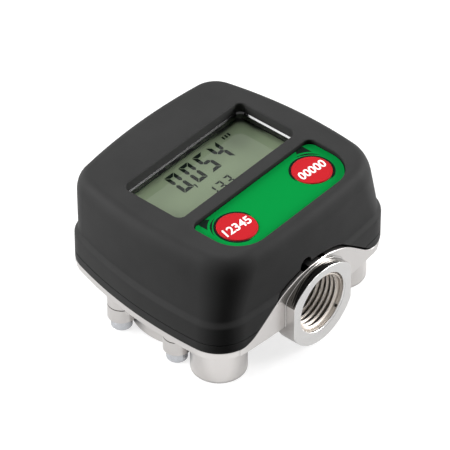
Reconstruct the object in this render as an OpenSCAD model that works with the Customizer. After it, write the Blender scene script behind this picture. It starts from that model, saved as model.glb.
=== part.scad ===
// Digital oil flow meter with two in-line threaded ports and a rubber boot.
// It lies on its back: the display looks up (+Z), its reading direction is +X,
// the ports open along -Y and +Y, and the origin is on the ground under the middle.

/* [Boot] */
// Width of the boot near the ground
foot_w = 86.4; // [84:0.2:92]
// How much the left and right sides lean in from the ground to the display
side_taper = 3.4; // [1:0.1:5]
// How much the side at the buttons leans in
low_taper = 1.2; // [0:0.1:2]
// How much the side above the display leans in
up_taper = 0.7; // [0:0.1:2]
// Height of the plain band above the display window
brow_h = 20.1; // [17:0.1:24]
// Height of the bar between the display window and the keypad label
bar_h = 4.5; // [3:0.1:6]
// Height of the plain band under the keypad label
chin_h = 5.1; // [4.5:0.1:8]
// How much further the boot reaches at the buttons than above the display
low_lead = 1; // [0:0.1:2]
// Radius of the bulged left and right sides
side_r = 150; // [130:5:300]
// Radius of the bulged side above the display
upper_end_r = 200; // [150:5:400]
// Radius of the bulged side at the buttons
lower_end_r = 300; // [200:5:500]
// Corner radius above the display
upper_corner_r = 10.5; // [8:0.5:13]
// Corner radius at the buttons, near the ground
foot_corner_r = 12.5; // [9:0.5:14]
// Corner radius at the buttons, at the display
crown_corner_r = 15; // [10:0.5:17]
// Thickness of the rubber over the display side
boot_roof = 3.5; // [2.6:0.1:3.8]
// Rounding of the boot's upper edge
crown_round = 4; // [2:0.5:5]
// Width of the step around the boot's lower band
band_step = 1.05; // [0.4:0.05:1.6]
// Height of the lower band above the boot's lower edge
band_h = 10; // [7:0.5:12]
// Depth of the groove round the lower lip
groove_d = 0.45; // [0.2:0.05:0.8]

/* [Casting] */
// Radius of the thread's outside, G 1/2
thread_r = 10.4775; // [10.4:0.005:10.6]
// Wall round the thread, at the face of a port
port_wall = 4.8225; // [4:0.1:5.5]
// How far the port faces stand out of the boot at the buttons
port_out = 3.3; // [2:0.1:6]
// Height of a port boss above its axis
port_crown_h = 13.7; // [13:0.1:15]
// Radius of the flatter arc over a port boss
port_crown_r = 18; // [16:0.5:24]
// How far the flats of the port bosses cut into their walls
port_flat_cut = 1.3; // [0.8:0.1:2]
// Width of the chamfer at the mouth of the thread
mouth_chamfer = 0.6; // [0.3:0.1:1]
// Radius of the drilling from the port to the chamber
drilling_r = 4.6; // [3:0.1:4.6]
// How far the flange's underside lies below the port axis
flange_drop = 2.9; // [2.4:0.1:3.2]
// Thickness of the flange
flange_t = 2.6; // [2:0.1:3]
// How far the flange's edge stays inside the boot's outline
flange_inset = 0.3; // [0:0.1:1]
// Height of the arch over each port, above the thread
arch_wall_t = 4.6; // [4.2:0.1:6]
// Radius of the arch's crown
arch_r = 31; // [26:1:36]
// How far the casting's deck, which carries the electronics, lies below the arch
deck_drop = 1.4; // [0.8:0.1:1.6]
// Wall thickness of the casting
cast_wall = 3; // [2:0.1:4]
// Radius of the two corner bosses
corner_boss_r = 9.2; // [8:0.1:10]
// Distance from a corner boss's axis to the boot's widest side
corner_boss_side = 13.55; // [12:0.05:15]
// Distance from a corner boss's axis to the boot's reach at the buttons
corner_boss_end = 14.8; // [14:0.1:16]

/* [Meter] */
// Distance from the gear chamber to the boot's widest side
chamber_side = 16.225; // [16:0.025:18]
// Number of teeth on each gear
teeth = 12; // [10:2:16]
// Radius of the axles
axle_r = 3; // [2.5:0.1:3.5]
// Thickness of the gears
gear_t = 11.8; // [10:0.1:11.8]
// Rim of the chamber cover round its seal
cover_rim = 4.175; // [3:0.025:5]
// How far the chamber's floor lies below the port axis
chamber_drop = 7.1; // [6.4:0.1:7.4]
// Distance from a chamber screw to the boot's widest side
cover_screw_side = 7.8; // [7.4:0.1:8]
// Distance from a chamber screw to the corner boss beside it, across the display
cover_screw_step = 12.6; // [12:0.1:14]
// Radius of the lugs round the chamber screws
lug_r = 4.6; // [4:0.1:5]

/* [Display] */
// Distance from the display window to the boot's side
window_side = 11.4; // [11:0.1:14]
// Height of the display window
window_h = 24.2; // [20:0.1:26]
// Depth from the boot's top to the display window's pane
window_depth = 6.5; // [6:0.1:6.6]
// Distance from the keypad label to the boot's side
label_side = 10.9; // [10.4:0.1:13]
// Height of the keypad label
label_h = 21.1; // [18:0.1:22]
// Depth from the boot's top to the label
label_depth = 1.6; // [1.2:0.1:2]
// Distance from a button's axis to the label's side
button_side = 10.65; // [9:0.05:12]
// Height of the buttons' axes above the label's lower edge
button_up = 10.8; // [9:0.1:12]
// Radius of the buttons
button_r = 6.65; // [5.6:0.05:6.7]
// Height of the buttons' crown above the label
button_rise = 0.4; // [0.2:0.1:1]
// Travel of the buttons
button_travel = 0.6; // [0.3:0.1:0.6]

/* [Fits] */
// Gap between a part that slips into another and its place
slip = 0.15; // [0.1:0.01:0.2]
// Gap between the rubber and the parts that it wraps
rubber_gap = 0.3; // [0.2:0.05:0.5]
// Running gap round an axle
run_gap = 0.05; // [0.02:0.01:0.08]
// Gap between the gears and the chamber
chamber_gap = 0.1; // [0.05:0.01:0.15]
// Play between the teeth
backlash = 0.12; // [0.05:0.01:0.2]

/* [Hidden] */
$fn = 64;

// Overrun of a cut past the face that it opens
over = 1;

// Points along each stretch of the boot's outline, and along a corner
side_steps = 6;
corner_steps = 8;

// How far below the middle the boot is widest, near the ground and at the display
foot_waist = -15;
crown_waist = -7;

// Outline of the boot at the display and near the ground, worked out from the display's rows
depth = chin_h + label_h + bar_h + window_h + brow_h;
crown_w = foot_w - 2 * side_taper;
crown_reach_low = (depth + low_lead) / 2;
crown_reach_up = (depth - low_lead) / 2;
foot_reach_low = crown_reach_low + low_taper;
foot_reach_up = crown_reach_up + up_taper;

// Ports: faces, bosses and axis
port_span = 2 * (foot_reach_low + port_out);
port_boss_r = thread_r + port_wall;
port_flats = 2 * (port_boss_r - port_flat_cut);
port_lift = 1.2;
port_z = port_lift + port_boss_r;
arch_top = port_z + thread_r + arch_wall_t;
deck_z = arch_top - deck_drop;
flange_z = port_z - flange_drop;
corner_boss_span = foot_w - 2 * corner_boss_side;
corner_boss_y = foot_reach_low - corner_boss_end;

// The boot's lower edge rests on the flange
boot_z = flange_z + flange_t;
// Chamfer under the boot's lower lip, and the groove above it
lip_chamfer = 0.4;
groove_rise = 3.5;
groove_z = boot_z + groove_rise;
groove_w = 0.6;
// Height over which the step above the lower band fades into the wall
step_h = 6;
// Thickness of the rubber on the sides
boot_wall = 3.3;
// Vent notch over the arch: its radius and its place beside the port axis
notch_r = 2.3;
notch_x = -3.2;

// Radius of the casting round the thread and the drilling, behind the port bosses
tunnel_wall = 2.4;
tunnel_r = thread_r + tunnel_wall;

// Arch: steepness of its flanks and the rounding at its feet
arch_slope = 40;
arch_foot_r = 12;
// The casting's flat face at the ports, behind the boot's outline
arch_inset = 0.1;

// Chamber: the gears' pitch, tooth sizes and the chamber that they turn in
addendum_share = 0.9;
dedendum_share = 1.15;
axle_span = (foot_w / 2 - chamber_side - chamber_gap) / (1 + addendum_share / teeth);
pitch_r = axle_span / 2;
module_size = axle_span / teeth;
pressure_angle = 22.5;
gear_tip_r = pitch_r + addendum_share * module_size;
gear_root_r = pitch_r - dedendum_share * module_size;
base_r = pitch_r * cos(pressure_angle);
chamber_r = gear_tip_r + chamber_gap;
cover_floor_z = 0.5;
chamber_z = port_z - chamber_drop;
cover_t = chamber_z - cover_floor_z;
cover_screw_x = foot_w - 2 * cover_screw_side;
cover_screw_y = 2 * (corner_boss_y - cover_screw_step);
chamber_h = gear_t + 2 * chamber_gap;
chamber_roof = 3.1;
chamber_wall = 3.9;
axle_seat_cover = 4;
axle_seat_roof = 2;
bush_wall = 1;
tooth_steps = 5;

// Magnets in the right gear, midway between its bush and its tooth roots
magnet_wall = 0.4;
magnet_r = (gear_root_r - axle_r - run_gap - bush_wall) / 2 - magnet_wall;
magnet_h = 3;
magnet_place = (gear_root_r + axle_r + run_gap + bush_wall) / 2;

// Seal in the cover's face
seal_w = 2;
seal_t = 1.6;
seal_land = 1.2;
seal_r = chamber_r + seal_land + seal_w;
cover_edge = 0.9;
cover_half_w = cover_screw_x / 2 - cover_edge;
cover_half_h = seal_r + slip + cover_rim;

// M4 cap screws
m4_r = 2;
m4_head_r = 3.5;
m4_head_h = 4;
m4_hex = 3;
m4_hex_depth = 2;
m4_thread_gap = 0.05;
m4_clear_r = 2.25;
chamber_screw_l = 12;
counterbore_r = 4.4;
counterbore_d = 6;
counterbore_wall = 1.5;
post_r = 4.5;
rear_post_side = 17.2;
rear_post_end = 11.7;
rear_post_x = foot_w / 2 - rear_post_side;
rear_post_y = foot_reach_up - rear_post_end;
// Where the chamber screws' heads end above the ground
screw_seat_z = m4_head_h;

// Electronics case
case_inset = boot_wall + rubber_gap;
case_wall = 2.2;
case_floor = 1.8;
gasket_t = 0.6;
gasket_w = 1.4;
pedestal_gap = rubber_gap;
label_t = 0.25;
collar_w = 2;
insert_r = 2.8;
insert_l = 7;
well_r = 4;
well_wall = 1.2;
well_gap = 0.5;
well_x = pitch_r + magnet_place;
well_z = chamber_z + chamber_h + chamber_roof + well_gap;

// Label and display window: edges and corner radii
label_w = crown_w - 2 * label_side;
label_low = chin_h - crown_reach_low;
label_up = label_low + label_h;
label_upper_r = 3;
label_lower_r = 11;
window_w = crown_w - 2 * window_side;
window_low = label_up + bar_h;
window_up = window_low + window_h;
window_r = 2.5;
button_span = label_w - 2 * button_side;
button_y = label_low + button_up;

// Cells, springs and board, from the case's floor upwards
cell_t = 3.2;
tray_floor = 0.3;
clip_t = 0.3;
cell_z = deck_z + case_floor + tray_floor;
board_lift = 0.2;
board_low_z = cell_z + cell_t + clip_t + board_lift;
board_t = 1.6;
board_gap = 2.6;
board_top_z = board_low_z + board_t;
case_split_z = board_low_z;

// Display stack, from the board upwards
pane_t = 1.2;
pane_margin = 1;
glass_t = 2.2;
glass_margin = 0.8;
glass_gap = 0.1;
glass_low_z = board_top_z + board_gap;
glass_top_z = glass_low_z + glass_t;
pane_top_z = glass_top_z + glass_gap + pane_t;
total_h = pane_top_z + window_depth;
case_top_z = total_h - boot_roof - rubber_gap / 3;
label_z = total_h - label_depth - label_t;
board_margin = 0.4;
board_inset = case_inset + case_wall + board_margin;
contact_w = 2;
contact_margin = 0.3;

// How far the case screws reach into their inserts
long_engage = 5;
short_engage = 6.6;
long_screw_l = case_split_z + long_engage - counterbore_d;
short_screw_l = case_split_z + short_engage - flange_z - m4_head_h;

// Board fastening: three M2 screws into posts under the case cover
board_post_r = 1.9;
board_post_side = 8.3;
board_post_x = crown_w / 2 - board_post_side;
board_post_y = 0;
board_post_step = 7.1;
board_post_low_y = button_y + board_post_step;
m2_r = 1;
m2_head_r = 1.8;
m2_head_h = 1.2;
m2_length = 6;
m2_cross_w = 0.4;
m2_cross_d = 0.5;

// Components on the board
chip_w = 9;
chip_t = 1.2;
chip_drop = 0.4;
chip_y = button_y - chip_drop;
switch_w = 6;
switch_t = 3.5;
plunger_r = 1.7;
plunger_h = 0.9;
sensor_w = 6;
sensor_t = 1;
sensor_lift = 0.6;
sensor_low_z = well_z + well_wall + sensor_lift;
hall_w = 4;
hall_h = 3;
hall_t = 1.4;

// Battery: two 20 mm cells in a tray, beside the sensor board
cell_r = 10;
cell_gap = 0.75;
tray_wall = 1;
tray_gap = 0.5;
tray_h = 2.4;
cell_x = cell_r + cell_gap;
cell_y = sensor_t / 2 + tray_gap + tray_wall + slip + cell_r;
clip_w = 5;

// Buttons
stem_r = 2;
flange_step_r = 0.45;
button_flange_t = 0.8;
// The button's flange rests just under the pedestal's plate
flange_top_z = label_z - case_wall - chamber_gap;
stem_z = board_top_z + switch_t + plunger_h + button_travel + chamber_gap;
button_edge_z = label_z + label_t;

// Strainer in the inlet, behind the thread
strainer_step = 1.2775;
strainer_r = thread_r - strainer_step;
strainer_seat = 3;
// The strainer's inner face, seen from the meter's middle, and the thread in front of it
strainer_back = 2.5;
strainer_y = cover_half_h + strainer_back;
thread_depth = port_span / 2 - strainer_y - strainer_seat;
strainer_rim = 1.6;
strainer_t = 1.6;
mesh_t = 0.5;
mesh_hole_r = 0.7;
mesh_pitch = 2.1;
mesh_rows = 3;
clip_ring_w = 1.2;
clip_ring_t = 1;
clip_gap_w = 3;

// Where the two circles about c0 and c1 cross, on the side of signs s
function crossing(c0, r0, c1, r1, s) =
    let (d = norm(c1 - c0), a = (r0 * r0 - r1 * r1 + d * d) / (2 * d))
    let (h = sqrt(max(0, r0 * r0 - a * a)), u = (c1 - c0) / d, m = c0 + a * u)
    let (p = m + h * [-u.y, u.x], q = m - h * [-u.y, u.x])
    p.x * s.x > 0 && p.y * s.y > 0 ? p : q;

function bearing(c, p) = atan2(p.y - c.y, p.x - c.x);

// Points along an arc, the first one left out where skip is 1
function arc(c, r, from, to, steps, skip = 0) =
    [for (i = [skip : steps]) c + r * [cos(from + (to - from) * i / steps), sin(from + (to - from) * i / steps)]];

function blend(a, b, share) = a + (b - a) * share;

// Outline of the boot: four bulged sides and four corner arcs, symmetric about X = 0.
// share runs from 0 at the display to 1 near the ground, grow moves the outline outwards.
function outline(share, grow) =
    let (half = blend(crown_w, foot_w, share) / 2)
    let (low = blend(crown_reach_low, foot_reach_low, share))
    let (up = blend(crown_reach_up, foot_reach_up, share))
    let (waist = blend(crown_waist, foot_waist, share))
    let (low_r = blend(crown_corner_r, foot_corner_r, share))
    let (side_c = [half - side_r, waist], low_c = [0, lower_end_r - low], up_c = [0, up - upper_end_r])
    let (p = crossing(side_c, side_r - low_r, low_c, lower_end_r - low_r, [1, -1]))
    let (q = crossing(side_c, side_r - upper_corner_r, up_c, upper_end_r - upper_corner_r, [1, 1]))
    let (right = concat(
        arc(low_c, lower_end_r + grow, -90, bearing(low_c, p), side_steps / 2),
        arc(p, low_r + grow, bearing(low_c, p), bearing(side_c, p), corner_steps, 1),
        arc(side_c, side_r + grow, bearing(side_c, p), bearing(side_c, q), side_steps, 1),
        arc(q, upper_corner_r + grow, bearing(side_c, q), bearing(up_c, q), corner_steps, 1),
        arc(up_c, upper_end_r + grow, bearing(up_c, q), 90, side_steps / 2, 1)))
    concat(right, [for (i = [len(right) - 2 : -1 : 1]) [-right[i].x, right[i].y]]);

// A solid whose rings are outlines, each given as [share, grow, height]
module loft(rings) {
    loops = [for (g = rings) outline(g[0], g[1])];
    n = len(loops[0]);
    points = [for (k = [0 : len(rings) - 1]) for (p = loops[k]) [p.x, p.y, rings[k][2]]];
    walls = [for (k = [0 : len(rings) - 2]) for (i = [0 : n - 1])
        [k * n + i, (k + 1) * n + i, (k + 1) * n + (i + 1) % n, k * n + (i + 1) % n]];
    caps = [[for (i = [0 : n - 1]) i], [for (i = [n - 1 : -1 : 0]) (len(rings) - 1) * n + i]];
    polyhedron(points, concat(walls, caps));
}

module slab(share, grow, low, high)
    translate([0, 0, low]) linear_extrude(high - low) polygon(outline(share, grow));

// A rectangle with one corner radius above and another below
module panel(w, low, up, r_up, r_low) intersection() {
    translate([-w / 2, low]) square([w, up - low]);
    union() {
        translate([-w / 2 + r_low, low]) square([w - 2 * r_low, r_low]);
        translate([-w / 2, low + r_low]) square([w, up - r_up - low - r_low]);
        translate([-w / 2 + r_up, low + r_low]) square([w - 2 * r_up, up - low - r_low]);
        for (s = [-1, 1]) {
            translate([s * (w / 2 - r_low), low + r_low]) circle(r_low);
            translate([s * (w / 2 - r_up), up - r_up]) circle(r_up);
        }
    }
}

// A flat shape with round ends, given by half its width and half its height
module oval(half_w, half_h) {
    for (s = [-1, 1]) translate([s * (half_w - half_h), 0]) circle(half_h);
    square([2 * (half_w - half_h), 2 * half_h], center = true);
}

// The oval whose round ends of radius r lie on the gear axles
module stadium(r) oval(axle_span / 2 + r, r);

// A cylinder along Y, from one distance out to another, on side s
module port_bar(s, r, near, far)
    translate([0, s * near, port_z]) rotate([s * -90, 0, 0]) cylinder(h = far - near, r = r);

// The arch's outline in X and Z, grown outwards, with its feet on the level foot
function arch_half(grow, foot) =
    let (r = arch_r + grow, fr = arch_foot_r - grow, c = arch_top - arch_r)
    let (x1 = r * sin(arch_slope), z1 = c + r * cos(arch_slope))
    let (z2 = foot + fr * (1 - cos(arch_slope)), x2 = x1 + (z1 - z2) / tan(arch_slope))
    let (x3 = x2 + fr * sin(arch_slope))
    concat(
        [for (i = [0 : corner_steps]) [r * sin(arch_slope * i / corner_steps), c + r * cos(arch_slope * i / corner_steps)]],
        [for (i = [corner_steps : -1 : 0])
            [x3 - fr * sin(arch_slope * i / corner_steps), foot + fr * (1 - cos(arch_slope * i / corner_steps))]]);

function arch_outline(grow, foot, drop) =
    let (half = arch_half(grow, foot), n = len(half))
    concat(half, [[half[n - 1].x, foot - drop], [-half[n - 1].x, foot - drop]],
        [for (i = [n - 1 : -1 : 1]) [-half[i].x, half[i].y]]);

// The arch as a block through the whole meter along Y, or on side s alone
module arch_block(grow, foot, drop, s)
    translate([0, s > 0 ? foot_reach_up + over : -foot_reach_low / 2, 0]) rotate([90, 0, 0])
        linear_extrude(foot_reach_low / 2 + over) polygon(arch_outline(grow, foot, drop));

// The casting's wall behind the boot's outline, cut back above the deck for the electronics case
module arch_wall() difference() {
    slab(1, -arch_inset, flange_z, arch_top + over);
    slab(1, -boot_wall - rubber_gap - cast_wall, boot_z, deck_z);
    slab(0, -case_inset + rubber_gap, deck_z, arch_top + 2 * over);
}

module cap_screw(length) {
    difference() {
        cylinder(h = m4_head_h, r = m4_head_r);
        translate([0, 0, -over]) cylinder(h = m4_hex_depth + over, r = m4_hex / 2 / cos(30), $fn = 6);
    }
    translate([0, 0, m4_head_h]) cylinder(h = length, r = m4_r);
}

module at_chamber_screws()
    for (x = [-1, 1], y = [-1, 1]) translate([x * cover_screw_x / 2, y * cover_screw_y / 2, 0]) children();

module at_corner_bosses()
    for (s = [-1, 1]) translate([s * corner_boss_span / 2, -corner_boss_y, 0]) children();

module at_rear_posts()
    for (s = [-1, 1]) translate([s * rear_post_x, rear_post_y, 0]) children();

module at_case_posts() {
    at_corner_bosses() children();
    at_rear_posts() children();
}

module at_axles()
    for (s = [-1, 1]) translate([s * axle_span / 2, 0, 0]) children();

// Webs that tie the chamber screws' lugs to the oval
module lugs(low, high) {
    at_chamber_screws() translate([0, 0, low]) cylinder(h = high - low, r = lug_r);
    for (x = [-1, 1], y = [-1, 1])
        translate([x * (cover_screw_x / 2 - lug_r), y * (cover_screw_y / 2 - lug_r / 2), (low + high) / 2])
            cube([2 * lug_r, lug_r, high - low], center = true);
}

module meter_body() color("gainsboro") difference() {
    union() {
        slab(1, -flange_inset, flange_z, boot_z);
        difference() {
            slab(1, -boot_wall - rubber_gap, boot_z, deck_z);
            difference() {
                slab(1, -boot_wall - rubber_gap - cast_wall, boot_z, deck_z + over);
                for (s = [-1, 1]) port_bar(s, tunnel_r, 0, port_span / 2);
                translate([0, 0, boot_z]) linear_extrude(chamber_z + chamber_h + chamber_roof - boot_z)
                    stadium(chamber_r + chamber_wall);
                at_case_posts() translate([0, 0, boot_z]) cylinder(h = deck_z - boot_z, r = post_r);
                at_rear_posts() translate([0, 0, boot_z])
                    cylinder(h = flange_z + m4_head_h + counterbore_wall - boot_z, r = counterbore_r + counterbore_wall);
                at_chamber_screws() translate([0, 0, boot_z])
                    cylinder(h = screw_seat_z + chamber_screw_l + cast_wall - boot_z, r = lug_r);
            }
        }
        for (s = [-1, 1]) {
            intersection() {
                arch_wall();
                arch_block(0, boot_z, flange_t, s);
            }
            port_bar(s, tunnel_r, cover_half_h + rubber_gap, port_span / 2);
            intersection() {
                port_bar(s, port_boss_r, (s > 0 ? foot_reach_up : foot_reach_low) - boot_wall - rubber_gap, port_span / 2);
                translate([0, 0, port_crown_h - port_crown_r]) port_bar(s, port_crown_r, 0, port_span);
                translate([0, 0, port_z]) cube([port_flats, 2 * port_span, 4 * port_boss_r], center = true);
            }
        }
        translate([0, 0, chamber_z]) linear_extrude(boot_z - chamber_z) oval(cover_half_w, cover_half_h);
        lugs(chamber_z, boot_z);
        at_corner_bosses() cylinder(h = flange_z + flange_t / 2, r = corner_boss_r);
    }
    translate([0, 0, chamber_z - over]) linear_extrude(over + chamber_h) stadium_chamber();
    at_axles() translate([0, 0, chamber_z]) cylinder(h = chamber_h + axle_seat_roof, r = axle_r + run_gap / 2);
    for (s = [-1, 1]) {
        port_bar(s, thread_r, port_span / 2 - thread_depth, port_span / 2 + over);
        port_bar(s, drilling_r, axle_span / 4, port_span / 2);
        translate([0, s * port_span / 2, port_z]) rotate([s * 90, 0, 0])
            cylinder(h = mouth_chamfer, r1 = thread_r + mouth_chamfer, r2 = thread_r);
    }
    port_bar(1, strainer_r + slip / 2, port_span / 2 - thread_depth - strainer_seat, port_span / 2);
    at_chamber_screws() translate([0, 0, chamber_z - over])
        cylinder(h = over + screw_seat_z + chamber_screw_l + slip - chamber_z, r = m4_r + m4_thread_gap);
    at_case_posts() translate([0, 0, -over]) cylinder(h = deck_z + 2 * over, r = m4_clear_r);
    at_corner_bosses() translate([0, 0, -over]) cylinder(h = over + counterbore_d, r = counterbore_r);
    at_rear_posts() translate([0, 0, flange_z - over]) cylinder(h = over + m4_head_h, r = counterbore_r);
}

// The two round chambers and the bridge between them
module stadium_chamber()
    at_axles() circle(chamber_r);

module chamber_cover() color("lightgray") difference() {
    union() {
        translate([0, 0, cover_floor_z]) linear_extrude(cover_t) oval(cover_half_w, cover_half_h);
        lugs(screw_seat_z, chamber_z);
    }
    difference() {
        translate([0, 0, chamber_z - seal_t]) linear_extrude(seal_t + over)
            stadium(seal_r + slip);
        translate([0, 0, chamber_z - seal_t - over]) linear_extrude(seal_t + 3 * over)
            stadium(chamber_r + seal_land - slip);
    }
    at_axles() translate([0, 0, chamber_z - axle_seat_cover])
        cylinder(h = axle_seat_cover + over, r = axle_r + run_gap / 2);
    at_chamber_screws() translate([0, 0, screw_seat_z - over]) cylinder(h = cover_t + 2 * over, r = m4_clear_r);
    at_corner_bosses() translate([0, 0, -over]) cylinder(h = chamber_z + 2 * over, r = corner_boss_r + 2 * slip);
}

module chamber_seal() color("black")
    translate([0, 0, chamber_z - seal_t]) linear_extrude(seal_t) difference() {
        stadium(seal_r);
        stadium(chamber_r + seal_land);
    }

module chamber_screws() color("silver") at_chamber_screws() cap_screw(chamber_screw_l);

module gear_axles() color("gray")
    at_axles() translate([0, 0, chamber_z - axle_seat_cover + run_gap])
        cylinder(h = axle_seat_cover + chamber_h + axle_seat_roof - 2 * run_gap, r = axle_r);

// Angle of the involute at radius r, from where it leaves the base circle
function roll(r) = let (t = sqrt(max(0, r * r / base_r / base_r - 1))) t * 180 / PI - atan(t);

// Half the angle that a tooth fills at radius r, thinned by the play
function half_tooth(r) =
    90 / teeth - backlash / pitch_r * 45 / PI + roll(pitch_r) - roll(max(r, base_r));

function tooth(turn) =
    let (radii = concat([gear_root_r], [for (i = [0 : tooth_steps]) blend(base_r, gear_tip_r, i / tooth_steps)]))
    let (n = len(radii))
    concat(
        [for (i = [0 : n - 1]) radii[i] * [cos(turn - half_tooth(radii[i])), sin(turn - half_tooth(radii[i]))]],
        [for (i = [n - 1 : -1 : 0]) radii[i] * [cos(turn + half_tooth(radii[i])), sin(turn + half_tooth(radii[i]))]]);

module spur_gear(first)
    translate([0, 0, chamber_z + chamber_gap]) difference() {
        linear_extrude(gear_t) polygon([for (i = [0 : teeth - 1]) for (p = tooth(first + i * 360 / teeth)) p]);
        translate([0, 0, -over]) cylinder(h = gear_t + 2 * over, r = axle_r + run_gap + bush_wall);
    }

module bush()
    translate([0, 0, chamber_z + chamber_gap]) difference() {
        cylinder(h = gear_t, r = axle_r + run_gap + bush_wall);
        translate([0, 0, -over]) cylinder(h = gear_t + 2 * over, r = axle_r + run_gap);
    }

module at_magnets()
    translate([axle_span / 2, 0, chamber_z + chamber_gap + gear_t - magnet_h])
        for (s = [-1, 1]) translate([s * magnet_place, 0, 0]) children();

module left_gear() color("dimgray") translate([-axle_span / 2, 0, 0]) spur_gear(0);

module left_gear_bush() color("peru") translate([-axle_span / 2, 0, 0]) bush();

module right_gear() color("dimgray") difference() {
    translate([axle_span / 2, 0, 0]) spur_gear(180 / teeth);
    at_magnets() cylinder(h = magnet_h + over, r = magnet_r);
}

module right_gear_bush() color("peru") translate([axle_span / 2, 0, 0]) bush();

module gear_magnets() color("silver") at_magnets() cylinder(h = magnet_h, r = magnet_r);

module inlet_strainer() color("silver") {
    difference() {
        port_bar(1, strainer_r, strainer_y, strainer_y + strainer_t);
        port_bar(1, strainer_r - strainer_rim, strainer_y + mesh_t, strainer_y + strainer_t + over);
        for (i = [-mesh_rows : mesh_rows], j = [-mesh_rows : mesh_rows])
            if (norm([i, j]) <= mesh_rows)
                translate([i * mesh_pitch, strainer_y - over, port_z + j * mesh_pitch])
                    rotate([-90, 0, 0]) cylinder(h = mesh_t + 2 * over, r = mesh_hole_r, $fn = 24);
    }
}

module strainer_clip() color("gray") difference() {
    port_bar(1, strainer_r, strainer_y + strainer_t, strainer_y + strainer_t + clip_ring_t);
    port_bar(1, strainer_r - clip_ring_w, strainer_y + strainer_t - over, strainer_y + strainer_t + clip_ring_t + over);
    translate([-clip_gap_w / 2, strainer_y, port_z - 2 * strainer_r])
        cube([clip_gap_w, 2 * strainer_t + over, 2 * strainer_r]);
}

module long_case_screws() color("silver")
    at_corner_bosses() translate([0, 0, counterbore_d - m4_head_h]) cap_screw(long_screw_l);

module short_case_screws() color("silver")
    at_rear_posts() translate([0, 0, flange_z]) cap_screw(short_screw_l);

// Sides of the electronics case between two heights
module case_sides(low, high) difference() {
    slab(0, -case_inset, low, high);
    slab(0, -case_inset - case_wall, low - over, high + over);
}

module case_base() color("dimgray") difference() {
    union() {
        case_sides(deck_z, case_split_z - gasket_t);
        slab(0, -case_inset, deck_z, deck_z + case_floor);
        at_case_posts() translate([0, 0, deck_z]) cylinder(h = case_split_z - gasket_t - deck_z, r = post_r);
        translate([well_x, 0, well_z]) cylinder(h = deck_z + case_floor - well_z, r = well_r + well_wall);
    }
    at_case_posts() translate([0, 0, deck_z - over]) cylinder(h = case_split_z, r = m4_clear_r);
    translate([well_x, 0, well_z + well_wall]) cylinder(h = deck_z, r = well_r);
}

module case_gasket() color("black") {
    difference() {
        slab(0, -case_inset - (case_wall - gasket_w) / 2, case_split_z - gasket_t, case_split_z);
        slab(0, -case_inset - (case_wall + gasket_w) / 2, case_split_z - gasket_t - over, case_split_z + over);
    }
}

module pedestal_panel()
    panel(label_w - 2 * pedestal_gap, label_low + pedestal_gap, label_up - pedestal_gap, label_upper_r,
        label_lower_r - pedestal_gap);

module window_panel(grow)
    panel(window_w + 2 * grow, window_low - grow, window_up + grow, window_r + grow, window_r + grow);

module at_buttons()
    for (s = [-1, 1]) translate([s * button_span / 2, button_y, 0]) children();

module at_board_posts() {
    for (s = [-1, 1]) translate([s * board_post_x, board_post_y, 0]) children();
    translate([0, board_post_low_y, 0]) children();
}

module case_cover() color("darkslategray") difference() {
    union() {
        case_sides(case_split_z, case_top_z);
        slab(0, -case_inset, case_top_z - case_wall, case_top_z);
        translate([0, 0, case_top_z]) linear_extrude(label_z - case_top_z) pedestal_panel();
        translate([0, 0, pane_top_z]) linear_extrude(case_top_z - pane_top_z) window_panel(collar_w);
        at_case_posts() translate([0, 0, case_split_z]) cylinder(h = case_top_z - case_split_z, r = post_r);
        at_board_posts() translate([0, 0, board_top_z]) cylinder(h = case_top_z - board_top_z, r = board_post_r);
    }
    translate([0, 0, pane_top_z - over]) linear_extrude(total_h) window_panel(0);
    at_buttons() {
        translate([0, 0, case_split_z]) cylinder(h = total_h, r = button_r + slip);
        translate([0, 0, case_split_z]) cylinder(h = label_z - case_wall - case_split_z, r = button_r + flange_step_r + slip);
    }
    at_case_posts() translate([0, 0, case_split_z - over]) cylinder(h = over + insert_l + over, r = insert_r);
    at_board_posts() translate([0, 0, board_top_z - over]) cylinder(h = m2_length, r = m2_r + m4_thread_gap);
}

module case_inserts() color("goldenrod")
    at_case_posts() translate([0, 0, case_split_z]) difference() {
        cylinder(h = insert_l, r = insert_r);
        translate([0, 0, -over]) cylinder(h = insert_l + 2 * over, r = m4_r + m4_thread_gap);
    }

module display_pane() color("whitesmoke")
    translate([0, 0, pane_top_z - pane_t]) linear_extrude(pane_t) window_panel(pane_margin);

module display_glass() color("darkseagreen")
    translate([0, 0, glass_low_z]) linear_extrude(glass_t)
        translate([0, (window_low + window_up) / 2])
            square([window_w + 2 * glass_margin, window_up - window_low + 2 * glass_margin], center = true);

module display_contacts() color("pink")
    for (y = [window_low - glass_margin + contact_margin, window_up + glass_margin - contact_margin - contact_w])
        translate([-window_w / 2, y, board_top_z]) cube([window_w, contact_w, board_gap]);

module circuit_board() color("seagreen") difference() {
    slab(0, -board_inset, board_low_z, board_top_z);
    at_case_posts() translate([0, 0, board_low_z - over]) cylinder(h = board_t + 2 * over, r = post_r + 2 * slip);
    at_board_posts() translate([0, 0, board_low_z - over]) cylinder(h = board_t + 2 * over, r = m2_r + slip);
}

module board_screws() color("silver")
    at_board_posts() translate([0, 0, board_low_z - m2_head_h]) difference() {
        union() {
            cylinder(h = m2_head_h, r = m2_head_r);
            cylinder(h = m2_length, r = m2_r);
        }
        for (turn = [0, 90]) rotate(turn) translate([-m2_head_r / 2, -m2_cross_w / 2, -over])
            cube([m2_head_r, m2_cross_w, over + m2_cross_d]);
    }

module control_chip() color("black")
    translate([-chip_w / 2, chip_y - chip_w / 2, board_low_z - chip_t]) cube([chip_w, chip_w, chip_t]);

module sensor_board() color("seagreen")
    translate([well_x - sensor_w / 2, -sensor_t / 2, sensor_low_z]) cube([sensor_w, sensor_t, board_low_z - sensor_low_z]);

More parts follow.
